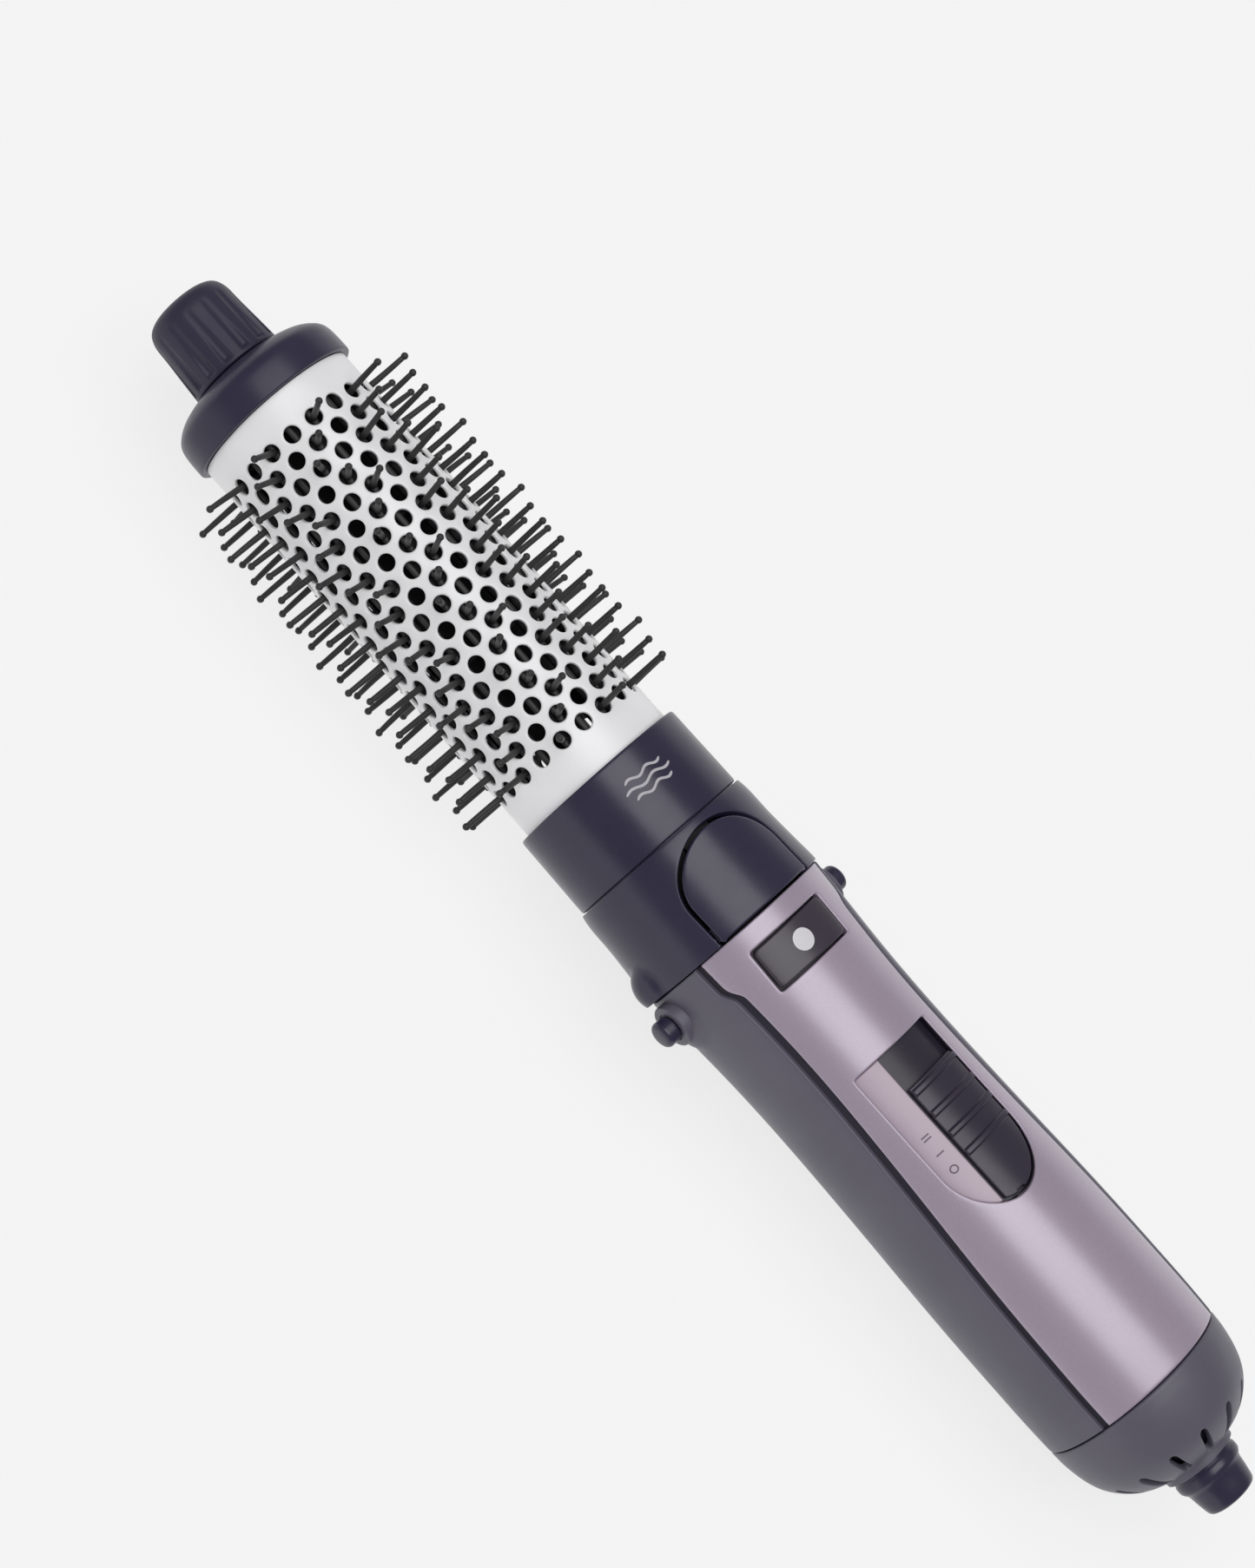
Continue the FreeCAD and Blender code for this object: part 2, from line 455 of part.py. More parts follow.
endbell = fuse([endbell, box(MOTOR_S1 + 1.8, MOTOR_S1 + 4.5, -0.4, 0.4, 6.0, 8.4),
                box(MOTOR_S1 + 1.8, MOTOR_S1 + 4.5, -0.4, 0.4, -8.4, -6.0)])
save("motor_end_cap", endbell)
magnet = tube(265.5, 283.5, MOTOR_R - 1.05, MOTOR_R - 3.2)
wedge = box(260, 290, -30, 30, 4.0, 30)
save("motor_magnets", [magnet.common(wedge), magnet.common(rot_x(wedge, 180))])
armature = [cyl_x(251.0, MOTOR_S1 + 3.0, SHAFT_R), tube(282.8, 285.4, 3.4, 0.5)]
armature += [rot_x(box(268.0, 280.0, -1.6, 1.6, 0.2, 5.2), k * 120.0) for k in range(3)]
armature += [rot_x(tube(268.0, 280.0, 8.3, 5.0).common(box(260, 290, -5.6, 5.6, 0, 30)), k * 120.0) for k in range(3)]
save("motor_armature", fuse(armature))
hub = rev([(FAN_S0, 0.0), (FAN_S0, 3.2), (FAN_S0 + 1.6, 4.8), (FAN_S1, 5.4), (FAN_S1, 4.2), (FAN_S0 + 2.6, 3.6),
           (FAN_S0 + 2.6, 2.6), (FAN_S1, 2.6), (FAN_S1, SHAFT_R + 0.01), (251.0 - 0.02, SHAFT_R + 0.01), (251.0 - 0.02, 0.0)])
blade = Part.makeBox(9.6, 0.8, FAN_R - 4.6, V(-4.8, -0.4, 4.6))
blade.rotate(V(0, 0, 0), V(0, 0, 1), 38.0)
blade.translate(V(X((FAN_S0 + FAN_S1) / 2.0 + 0.3), 0, 0))
blade = blade.common(tube(FAN_S0 - 1, FAN_S1 + 1, FAN_R, 4.4))
save("fan_impeller", fuse([hub] + [rot_x(blade, k * 360.0 / BLADES) for k in range(BLADES)]))

# ---------------------------------------------------------------- tail
tail_out = [(TAIL_S0, 22.2), (303.0, 21.85), (308.0, 20.7), (312.5, 18.3), (315.8, 14.9), (317.4, 11.6), (TAIL_S1, 9.6)]
tail = rev([(TAIL_S0, 20.0)] + tail_out + [(TAIL_S1, SWIVEL_R + 0.1), (314.6, SWIVEL_R + 0.1), (314.6, 11.0),
           (312.6, 14.4), (309.8, 16.9), (306.0, 18.7), (301.0, 19.4), (297.0, 18.5), (294.4, 18.5), (294.4, 19.75), (TAIL_S0, 19.75)])
slots = []
for k in range(14):
    slots.append(rot_x(box(300.5, 320.0, -1.0, 1.0, 11.6, 19.0), k * 360.0 / 14 + 360.0 / 28))
tail = tail.cut(slots)
save("tail_cap", tail)
mesh = [tube(296.6, 297.4, 18.3, 17.0)]
for k in range(-5, 6):
    mesh.append(box(296.7, 297.3, k * 3.0 - 0.25, k * 3.0 + 0.25, -18, 18).common(cyl_x(296, 298, 17.8)))
    mesh.append(box(296.7, 297.3, -18, 18, k * 3.0 - 0.25, k * 3.0 + 0.25).common(cyl_x(296, 298, 17.8)))
save("inlet_filter", fuse(mesh))
swivel = rev([(311.6, CORD_BORE_R), (311.6, 9.6), (313.9, 9.6), (313.9, SWIVEL_R), (320.5, SWIVEL_R),
              (321.2, 7.9), (323.0, 7.9), (323.8, 7.0), (329.0, 6.2), (TAIL_END, 5.4), (TAIL_END, CORD_BORE_R)])
save("cord_swivel", swivel)
ret = [tube(308.2, 311.2, 11.2, 5.0)]
ret += [rot_x(box(308.2, 310.2, -2.6, 2.6, 10.5, 17.0), 60 + k * 120.0) for k in range(3)]
ret = fuse(ret)
ret = ret.common(rev([(300, 0), (300, 19.2), (306.0, 18.4), (309.8, 16.7), (312.0, 14.6), (312.0, 0)]))
save("swivel_retainer", ret)
clamp = box(303.2, 308.0, -8.4, 8.4, -4.4, 4.4).cut([cyl_x(300, 310, 3.3), cyl_z(305.6, 6.4, 1.1, -5, 5), cyl_z(305.6, -6.4, 1.1, -5, 5)])
clamp = [clamp.common(box(300, 310, -10, 10, 0.25, 5)), clamp.common(box(300, 310, -10, 10, -5, -0.25))]
save("cord_clamp", clamp)
save("clamp_screws", [fuse([cyl_z(305.6, y, 1.9, 4.45, 5.8), cyl_z(305.6, y, 1.0, -3.4, 4.7)]) for y in (-6.4, 6.4)])

for n, (k, v) in DONE.items():
    print("%-24s %3d solid(s) %10.1f mm3" % (n, k, v))
print("nodes", len(DONE), "axis height", round(AXIS_H, 3))
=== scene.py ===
"""Hot air brush: looks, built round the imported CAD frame."""

import json
import math
import random

import bmesh
import bpy
import numpy as np
from mathutils import Matrix, Vector


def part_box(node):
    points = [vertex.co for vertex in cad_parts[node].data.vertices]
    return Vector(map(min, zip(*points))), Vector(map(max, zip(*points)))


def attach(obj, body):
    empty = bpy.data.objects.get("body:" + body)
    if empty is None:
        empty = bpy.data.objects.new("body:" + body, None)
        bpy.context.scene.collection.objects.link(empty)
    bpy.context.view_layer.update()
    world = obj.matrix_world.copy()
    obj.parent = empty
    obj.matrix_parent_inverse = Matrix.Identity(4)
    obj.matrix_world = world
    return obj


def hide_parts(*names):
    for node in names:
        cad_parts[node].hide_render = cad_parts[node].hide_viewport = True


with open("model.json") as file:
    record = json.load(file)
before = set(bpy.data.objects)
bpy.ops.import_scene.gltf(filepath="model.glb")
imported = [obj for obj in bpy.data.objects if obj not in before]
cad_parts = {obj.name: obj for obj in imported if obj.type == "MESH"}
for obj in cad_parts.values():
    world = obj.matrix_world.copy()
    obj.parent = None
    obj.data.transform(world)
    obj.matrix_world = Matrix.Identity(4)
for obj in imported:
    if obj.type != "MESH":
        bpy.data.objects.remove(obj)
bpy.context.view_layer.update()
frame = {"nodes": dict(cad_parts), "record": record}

MM = 0.001
TIP_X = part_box("cool_tip_knob")[1].x / MM - 2.4    # X of station 0, 2.4 mm behind the tip face
_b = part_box("barrel")
AXIS_Z = (_b[0].z + _b[1].z) / 2 / MM              # height of the brush axis
COL = bpy.context.scene.collection


# ------------------------------------------------------------------ small maths
def spline(points):
    """Natural cubic spline through (x, y) points, vectorised."""
    x = np.array([p[0] for p in points], float)
    y = np.array([p[1] for p in points], float)
    n = len(x)
    h = np.diff(x)
    a = np.zeros((n, n))
    b = np.zeros(n)
    a[0, 0] = a[-1, -1] = 1.0
    for i in range(1, n - 1):
        a[i, i - 1], a[i, i], a[i, i + 1] = h[i - 1], 2 * (h[i - 1] + h[i]), h[i]
        b[i] = 6 * ((y[i + 1] - y[i]) / h[i] - (y[i] - y[i - 1]) / h[i - 1])
    m = np.linalg.solve(a, b)

    def f(t):
        t = np.clip(np.asarray(t, float), x[0], x[-1])
        k = np.clip(np.searchsorted(x, t) - 1, 0, n - 2)
        d = t - x[k]
        hk = h[k]
        return (y[k] + d * ((y[k + 1] - y[k]) / hk - hk * (2 * m[k] + m[k + 1]) / 6)
                + d * d * m[k] / 2 + d ** 3 * (m[k + 1] - m[k]) / (6 * hk))
    return f


def smoothstep(a, b, x):
    t = np.clip((np.asarray(x, float) - a) / (b - a), 0, 1)
    return t * t * (3 - 2 * t)


def smax(a, b, k=2.5):
    """Smooth maximum, k sharper when larger."""
    m = np.maximum(a, b)
    return m + np.log(np.exp((a - m) * k) + np.exp((b - m) * k)) / k - 0.0


HANDLE = spline([(173.4, 22.65), (180, 22.35), (190, 21.8), (200, 21.4), (213, 21.25), (226, 21.4),
                 (240, 21.72), (255, 22.15), (268, 22.4), (282, 22.45), (291, 22.4), (298, 22.2)])
NOSE = spline([(150.15, 21.65), (151.2, 21.85), (158, 22.15), (165, 22.5), (169.5, 22.8),
               (172.2, 22.98), (173.4, 23.0)])
SEAM_S = np.array([173.0, 181.0, 184.0, 282.0, 299.0])
SEAM_Z = np.array([13.4, 13.4, 14.9, 13.5, 13.25])


def seam_z(s):
    # the jog is eased with short blends
    return (np.interp(s - 0.7, SEAM_S, SEAM_Z) + np.interp(s, SEAM_S, SEAM_Z)
            + np.interp(s + 0.7, SEAM_S, SEAM_Z)) / 3


def pos(s, phi, r):
    """Station, angle from the switch side towards +Y, radius -> row frame in mm."""
    s, phi, r = np.broadcast_arrays(np.asarray(s, float), np.asarray(phi, float), np.asarray(r, float))
    return np.stack([TIP_X - s, r * np.sin(phi), AXIS_Z + r * np.cos(phi)], -1)


def sphere_bump(s, phi, cs, cy, cz, rad):
    """Radius at which a ray from the axis leaves a sphere, or a small number."""
    dy, dz = np.sin(phi), np.cos(phi)
    q = rad * rad - (s - cs) ** 2
    along = cy * dy + cz * dz
    disc = q - (cy * cy + cz * cz - along ** 2)
    return np.where((disc > 0) & (q > 0) & (along > 0), along + np.sqrt(np.maximum(disc, 0)), 5.0)


# ------------------------------------------------------------------ mesh makers
def new_object(name, verts, faces, body, smooth=60.0):
    me = bpy.data.meshes.new(name)
    me.from_pydata([tuple(float(c) * MM for c in v) for v in verts], [], [tuple(int(i) for i in f) for f in faces])
    me.validate(verbose=False)
    bm = bmesh.new()
    bm.from_mesh(me)
    bmesh.ops.remove_doubles(bm, verts=bm.verts, dist=1e-7)
    bmesh.ops.recalc_face_normals(bm, faces=bm.faces)
    bm.to_mesh(me)
    bm.free()
    me.update()
    ob = bpy.data.objects.new(name, me)
    COL.objects.link(ob)
    me.shade_smooth()
    me.set_sharp_from_angle(angle=math.radians(smooth))
    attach(ob, body)
    return ob


class Build:
    """Collects vertices and faces of several closed shells that form one piece."""

    def __init__(self):
        self.v, self.f, self.n = [], [], 0

    def add(self, verts, faces):
        verts = np.asarray(verts, float)
        self.v.append(verts)
        self.f += [tuple(i + self.n for i in f) for f in faces]
        self.n += len(verts)
        return self

    def make(self, name, body, smooth=60.0):
        return new_object(name, np.concatenate(self.v), self.f, body, smooth)


def lathe(profile, segs=128, closed=True, radial=None):
    """Closed surface of revolution from (station, radius) points; radial(s, phi, r) may change the radius."""
    phis = np.linspace(0, 2 * np.pi, segs, endpoint=False)
    verts, rows = [], []
    for s, r in profile:
        if r < 1e-6:
            rows.append([len(verts)] * segs)
            verts.append(pos(s, 0, 0))
            continue
        rr = np.full(segs, float(r)) if radial is None else radial(s, phis, r)
        rows.append(list(range(len(verts), len(verts) + segs)))
        verts += list(pos(np.full(segs, s), phis, rr))
    faces = []
    pairs = list(zip(rows, rows[1:])) + ([(rows[-1], rows[0])] if closed else [])
    for a, b in pairs:
        for i in range(segs):
            j = (i + 1) % segs
            q = [a[i], a[j], b[j], b[i]]
            q = [x for k, x in enumerate(q) if x != q[k - 1]]
            if len(q) >= 3:
                faces.append(q)
    return np.array(verts), faces


def rounded(profile, radius, n=4):
    """Rounds the corners of a closed (station, radius) profile. radius is a number or one per corner."""
    pts = [np.array(p, float) for p in profile]
    out = []
    m = len(pts)
    for i, p in enumerate(pts):
        r = radius[i] if isinstance(radius, (list, tuple)) else radius
        a, b = pts[i - 1] - p, pts[(i + 1) % m] - p
        la, lb = np.linalg.norm(a), np.linalg.norm(b)
        if r <= 0 or p[1] < 1e-6 or la < 1e-9 or lb < 1e-9:
            out.append(p)
            continue
        ua, ub = a / la, b / lb
        cosang = float(np.clip(ua @ ub, -1, 1))
        ang = math.acos(cosang)
        if ang > math.radians(172):
            out.append(p)
            continue
        cut = min(r / math.tan(ang / 2), 0.45 * la, 0.45 * lb)
        p0, p1 = p + ua * cut, p + ub * cut
        for k in range(n + 1):
            t = k / n
            out.append((1 - t) ** 2 * p0 + 2 * t * (1 - t) * p + t * t * p1)
    return [tuple(p) for p in out]


def patch(surf, us, vs, keep=None, snap=None, r=0.4, depth=2.0, wrap=False, nround=4, down=None):
    """Solid piece of a curved surface with rounded borders.

    surf(u, v) gives points in mm; us is a list of stations and vs(u) the angles at a station.
    keep(u, v) tells which faces stay, snap(u, v) moves border points onto the exact outline.
    The border is then rounded outwards by r and goes down by depth along the surface normal,
    or along down(P, N) where that is given.
    """
    us = np.asarray(us, float)
    V = np.array([vs(u) for u in us])
    U = np.repeat(us[:, None], V.shape[1], 1)
    nu, nv = V.shape
    ring = nv if wrap else nv - 1
    kept = []
    for i in range(nu - 1):
        j = np.arange(ring)
        j2 = (j + 1) % nv
        vc = (V[i, j] + V[i + 1, j]) / 2
        vn = (V[i, j2] + V[i + 1, j2]) / 2
        vn = np.where(vn < vc - np.pi, vn + 2 * np.pi, vn) if wrap else vn
        ok = np.ones(ring, bool) if keep is None else keep(np.full(ring, (us[i] + us[i + 1]) / 2), (vc + vn) / 2)
        kept += [(i, int(a)) for a in j[ok]]
    idx = lambda i, j: i * nv + (j % nv)
    faces = [(idx(i, j), idx(i + 1, j), idx(i + 1, j + 1), idx(i, j + 1)) for i, j in kept]
    U, V = U.ravel().copy(), V.ravel().copy()
    edges = {}
    for f in faces:
        for a, b in zip(f, f[1:] + f[:1]):
            edges[(a, b)] = edges.get((a, b), 0) + 1
    border = [(a, b) for (a, b) in edges if (b, a) not in edges]
    bverts = sorted({a for a, b in border})
    if snap is not None and bverts:
        bu, bv = snap(U[bverts], V[bverts])
        U[bverts], V[bverts] = bu, bv
    P = surf(U, V)
    e = 0.02
    du = surf(U + e, V) - surf(U - e, V)
    dv = surf(U, V + e / 20) - surf(U, V - e / 20)
    N = np.cross(du, dv)
    N /= np.maximum(np.linalg.norm(N, axis=1, keepdims=True), 1e-12)
    axis_pt = np.stack([P[:, 0], np.zeros(len(P)), np.full(len(P), AXIS_Z)], -1)
    flip = np.sum(N * (P - axis_pt), 1) < 0
    N[flip] *= -1
    used = sorted({i for f in faces for i in f})
    remap = {g: k for k, g in enumerate(used)}
    P, N = P[used], N[used]
    faces = [tuple(remap[i] for i in f) for f in faces]
    border = [(remap[a], remap[b]) for a, b in border]
    nxt, prv = {}, {}
    for a, b in border:
        nxt.setdefault(a, []).append(b)
        prv.setdefault(b, []).append(a)
    verts = list(P)
    inner_of = {}
    base = len(verts)
    dep = depth if np.ndim(depth) else np.full(len(P), float(depth))
    way = N if down is None else down(P, N)
    inn = P - way * (dep / np.maximum(np.sum(way * N, 1), 0.3))[:, None]
    verts += list(inn)
    allf = list(faces) + [tuple(base + i for i in reversed(f)) for f in faces]
    # outward direction at each border vertex
    centre = {}
    for f in faces:
        c = P[list(f)].mean(0)
        for i in f:
            centre.setdefault(i, []).append(c)
    loops = {}
    for a in nxt:
        n = N[a]
        if len(nxt[a]) != 1 or len(prv.get(a, [])) != 1:
            c = np.mean(centre[a], 0)
            o = P[a] - c
            o -= n * (o @ n)
            o /= max(np.linalg.norm(o), 1e-9)
            scale = 1.0
        else:
            e1 = P[nxt[a][0]] - P[a]
            e0 = P[a] - P[prv[a][0]]
            o1, o0 = np.cross(e1, n), np.cross(e0, n)
            o1 /= max(np.linalg.norm(o1), 1e-9)
            o0 /= max(np.linalg.norm(o0), 1e-9)
            o = o0 + o1
            o -= n * (o @ n)
            ln = np.linalg.norm(o)
            o = o / max(ln, 1e-9)
            scale = 1.0 / max(ln / 2, 0.6)
            c = np.mean(centre[a], 0) - P[a]
            if o @ c > 0:
                o = -o
        row = [a]
        for k in range(1, nround + 1):
            t = k / nround * math.pi / 2
            row.append(len(verts))
            verts.append(P[a] + o * scale * r * math.sin(t) - n * r * (1 - math.cos(t)))
        row.append(len(verts))
        verts.append(P[a] + o * scale * r - n * r - way[a] * (max(dep[a] - r, 0.0) / max(float(way[a] @ n), 0.3)))
        row.append(base + a)
        loops[a] = row
    for a, b in border:
        ra, rb = loops[a], loops[b]
        for k in range(len(ra) - 1):
            allf.append((ra[k], ra[k + 1], rb[k + 1], rb[k]))
    return np.array(verts), allf


def steps(marks, size):
    """Stations through all marks with about the given spacing."""
    out = [marks[0]]
    for a, b in zip(marks, marks[1:]):
        n = max(1, int(round(abs(b - a) / size)))
        out += [a + (b - a) * (k + 1) / n for k in range(n)]
    return np.array(out)


# ------------------------------------------------------------------ colours and materials
def lin(r, g, b):
    out = []
    for c in (r, g, b):
        c = c / 255.0
        out.append(c / 12.92 if c <= 0.04045 else ((c + 0.055) / 1.055) ** 2.4)
    return (*out, 1.0)


def material(name, base, rough, metallic=0.0, spec=0.5, coat=0.0, coat_rough=0.2, grain=None, tint=None,
             brushed=None, sub=0.0, rough_var=0.0, flakes=None):
    """Principled material with fine procedural surface detail.

    grain = (size in mm, bump strength); tint = (size in mm, amount) slow colour variation;
    brushed = (axis scale, bump) streaks along the length or round the axis;
    flakes = (size in mm, brightness) for metallic lacquer.
    """
    m = bpy.data.materials.new(name)
    m.use_nodes = True
    nt = m.node_tree
    bsdf = next(n for n in nt.nodes if n.type == "BSDF_PRINCIPLED")
    bsdf.inputs["Base Color"].default_value = base
    bsdf.inputs["Roughness"].default_value = rough
    bsdf.inputs["Metallic"].default_value = metallic
    bsdf.inputs["Specular IOR Level"].default_value = spec
    bsdf.inputs["Coat Weight"].default_value = coat
    bsdf.inputs["Coat Roughness"].default_value = coat_rough
    m.diffuse_color = base
    coord = nt.nodes.new("ShaderNodeTexCoord")
    last_normal = None
    if grain:
        n = nt.nodes.new("ShaderNodeTexNoise")
        n.inputs["Scale"].default_value = 1000.0 / grain[0]
        n.inputs["Detail"].default_value = 2.0
        n.inputs["Roughness"].default_value = 0.55
        b = nt.nodes.new("ShaderNodeBump")
        b.inputs["Strength"].default_value = grain[1]
        b.inputs["Distance"].default_value = grain[0] * MM * 0.3
        nt.links.new(coord.outputs["Object"], n.inputs["Vector"])
        nt.links.new(n.outputs["Fac"], b.inputs["Height"])
        last_normal = b
    if brushed:
        mp = nt.nodes.new("ShaderNodeMapping")
        mp.inputs["Scale"].default_value = brushed[0]
        n = nt.nodes.new("ShaderNodeTexNoise")
        n.inputs["Scale"].default_value = 1000.0
        n.inputs["Detail"].default_value = 3.0
        b = nt.nodes.new("ShaderNodeBump")
        b.inputs["Strength"].default_value = brushed[1]
        b.inputs["Distance"].default_value = 0.00002
        nt.links.new(coord.outputs["Object"], mp.inputs["Vector"])
        nt.links.new(mp.outputs["Vector"], n.inputs["Vector"])
        nt.links.new(n.outputs["Fac"], b.inputs["Height"])
        if last_normal:
            nt.links.new(last_normal.outputs["Normal"], b.inputs["Normal"])
        last_normal = b
    if last_normal:
        nt.links.new(last_normal.outputs["Normal"], bsdf.inputs["Normal"])
    colour = None
    if tint:
        n = nt.nodes.new("ShaderNodeTexNoise")
        n.inputs["Scale"].default_value = 1000.0 / tint[0]
        n.inputs["Detail"].default_value = 4.0
        ramp = nt.nodes.new("ShaderNodeMapRange")
        ramp.inputs["From Min"].default_value = 0.3
        ramp.inputs["From Max"].default_value = 0.7
        ramp.inputs["To Min"].default_value = 1.0 - tint[1]
        ramp.inputs["To Max"].default_value = 1.0 + tint[1]
        mix = nt.nodes.new("ShaderNodeMix")
        mix.data_type = "RGBA"
        mix.blend_type = "MULTIPLY"
        mix.inputs[0].default_value = 1.0
        mix.inputs[6].default_value = base
        nt.links.new(coord.outputs["Object"], n.inputs["Vector"])
        nt.links.new(n.outputs["Fac"], ramp.inputs["Value"])
        nt.links.new(ramp.outputs["Result"], mix.inputs[7])
        colour = mix.outputs[2]
    if flakes:
        v = nt.nodes.new("ShaderNodeTexVoronoi")
        v.inputs["Scale"].default_value = 1000.0 / flakes[0]
        sep = nt.nodes.new("ShaderNodeSeparateColor")
        ramp = nt.nodes.new("ShaderNodeMapRange")
        ramp.inputs["To Min"].default_value = 1.0 - flakes[1]
        ramp.inputs["To Max"].default_value = 1.0 + flakes[1]
        mix = nt.nodes.new("ShaderNodeMix")
        mix.data_type = "RGBA"
        mix.blend_type = "MULTIPLY"
        mix.inputs[0].default_value = 1.0
        nt.links.new(coord.outputs["Object"], v.inputs["Vector"])
        nt.links.new(v.outputs["Color"], sep.inputs[0])
        nt.links.new(sep.outputs[0], ramp.inputs["Value"])
        if colour is None:
            mix.inputs[6].default_value = base
        else:
            nt.links.new(colour, mix.inputs[6])
        nt.links.new(ramp.outputs["Result"], mix.inputs[7])
        colour = mix.outputs[2]
    if colour is not None:
        nt.links.new(colour, bsdf.inputs["Base Color"])
    if rough_var:
        n = nt.nodes.new("ShaderNodeTexNoise")
        n.inputs["Scale"].default_value = 180.0
        n.inputs["Detail"].default_value = 5.0
        ramp = nt.nodes.new("ShaderNodeMapRange")
        ramp.inputs["From Min"].default_value = 0.3
        ramp.inputs["From Max"].default_value = 0.7
        ramp.inputs["To Min"].default_value = rough - rough_var
        ramp.inputs["To Max"].default_value = rough + rough_var
        nt.links.new(coord.outputs["Object"], n.inputs["Vector"])
        nt.links.new(n.outputs["Fac"], ramp.inputs["Value"])
        nt.links.new(ramp.outputs["Result"], bsdf.inputs["Roughness"])
    return m


M = {
    "dark_plastic": material("satin_dark_plastic", (0.0265, 0.0225, 0.0520, 1), 0.28, spec=0.50,
                             grain=(0.28, 0.10), tint=(9.0, 0.05), rough_var=0.03),
    "cap_plastic": material("soft_dark_plastic", (0.0300, 0.0262, 0.0560, 1), 0.34, spec=0.36,
                            grain=(0.28, 0.10), tint=(9.0, 0.05), rough_var=0.03),
    "knob_plastic": material("matt_dark_plastic", (0.0300, 0.0262, 0.0540, 1), 0.47, spec=0.36,
                             grain=(0.30, 0.14), tint=(7.0, 0.05), rough_var=0.03),
    "barrel_metal": material("bright_aluminium", (0.94, 0.94, 0.955, 1), 0.46, metallic=0.07, spec=0.45,
                             brushed=((0.25, 8.0, 8.0), 0.12), tint=(14.0, 0.02), rough_var=0.03),
    "bristle_nylon": material("charcoal_nylon", (0.032, 0.031, 0.033, 1), 0.48, spec=0.40,
                              grain=(0.35, 0.10), tint=(5.0, 0.10)),
    "inner_nylon": material("black_inner_nylon", (0.005, 0.005, 0.0056, 1), 0.6, spec=0.3,
                            grain=(0.4, 0.10), tint=(8.0, 0.06)),
    "track_plastic": material("track_plastic", (0.026, 0.021, 0.036, 1), 0.36, spec=0.45,
                              grain=(0.28, 0.10), tint=(8.0, 0.05)),
    "steel": material("plated_steel", (0.56, 0.56, 0.57, 1), 0.30, metallic=1.0,
                      brushed=((2.0, 2.0, 2.0), 0.10), tint=(6.0, 0.04), rough_var=0.04),
    "spring_steel": material("blackened_spring_steel", (0.035, 0.035, 0.038, 1), 0.42, metallic=0.6,
                             brushed=((2.0, 2.0, 2.0), 0.10), tint=(6.0, 0.05)),
    "lilac_shell": material("lilac_lacquer", (0.390, 0.318, 0.410, 1), 0.34, metallic=0.15, spec=1.0,
                            coat=0.60, coat_rough=0.26, grain=(0.22, 0.05), flakes=(0.16, 0.05),
                            tint=(16.0, 0.02)),
    "grey_shell": material("grey_plastic", (0.112, 0.104, 0.138, 1), 0.42, spec=0.45,
                           grain=(0.26, 0.10), tint=(12.0, 0.04), rough_var=0.03),
    "label": material("pale_label_plastic", (0.49, 0.395, 0.475, 1), 0.36, spec=0.60,
                      grain=(0.22, 0.05), tint=(8.0, 0.03)),
    "slider_plastic": material("slider_plastic", (0.034, 0.027, 0.047, 1), 0.30, spec=0.50,
                               grain=(0.24, 0.10), tint=(6.0, 0.05), rough_var=0.03),
    "button_plastic": material("button_plastic", (0.044, 0.034, 0.052, 1), 0.30, spec=0.55,
                               grain=(0.24, 0.08), tint=(6.0, 0.04), rough_var=0.03),
    "mark_white": material("white_inlay", (0.74, 0.72, 0.76, 1), 0.45, spec=0.4,
                           grain=(0.25, 0.05), tint=(4.0, 0.02)),
    "mica": material("mica_board", (0.42, 0.36, 0.24, 1), 0.45, spec=0.5,
                     grain=(1.2, 0.15), tint=(5.0, 0.15)),
    "heater_wire": material("heater_wire", (0.30, 0.29, 0.28, 1), 0.42, metallic=0.9,
                            tint=(3.0, 0.15), rough_var=0.06),
    "board": material("circuit_board_green", (0.035, 0.11, 0.05, 1), 0.40, spec=0.5,
                      grain=(0.8, 0.06), tint=(6.0, 0.08)),
    "black_part": material("black_moulding", (0.016, 0.016, 0.018, 1), 0.45, spec=0.4,
                           grain=(0.3, 0.10), tint=(6.0, 0.06)),
    "brass": material("brass", (0.62, 0.45, 0.20, 1), 0.32, metallic=1.0,
                      brushed=((2.0, 2.0, 2.0), 0.10), tint=(5.0, 0.05)),
    "magnet": material("ferrite", (0.05, 0.05, 0.052, 1), 0.6, spec=0.35,
                       grain=(0.5, 0.20), tint=(4.0, 0.10)),
    "print_dark": material("dusky_print", (0.17, 0.13, 0.175, 1), 0.50, spec=0.35,
                           grain=(0.2, 0.02), tint=(8.0, 0.02)),
    "print": material("pale_print", (0.50, 0.48, 0.52, 1), 0.50, spec=0.35,
                      grain=(0.2, 0.04), tint=(3.0, 0.03)),
    # seam lip colour: darker than the grey rear shell it belongs to, painted shade of the groove between the shells
    "seam": material("seam_lip_painted_shade", (0.052, 0.047, 0.066, 1), 0.55, spec=0.25,
                     grain=(0.3, 0.10), tint=(8.0, 0.04)),
}


def dress(ob, slot_name, mat=None):
    ob.data.materials.clear()
    ob.data.materials.append(M[mat or slot_name])
    return ob


# ------------------------------------------------------------------ outlines (distance, negative inside)
def sd_box(s, y, s0, s1, hy, r):
    qx = np.abs(s - (s0 + s1) / 2) - (s1 - s0) / 2 + r
    qy = np.abs(y) - hy + r
    return np.hypot(np.maximum(qx, 0), np.maximum(qy, 0)) + np.minimum(np.maximum(qx, qy), 0) - r


def sd_ellipse_like(px, py, a, b):
    """Close to the signed distance of an ellipse near its border."""
    k0 = np.hypot(px / a, py / b)
    k1 = np.hypot(px / (a * a), py / (b * b))
    return k0 * (k0 - 1.0) / np.maximum(k1, 1e-9)


def sd_arch(s, y, a, b, cs=164.6):
    """Arch open towards the tail: ellipse on the tip side, straight flanks behind its centre."""
    front = sd_ellipse_like(s - cs, y, a, b)
    return np.where(s < cs, front, np.abs(y) - b)


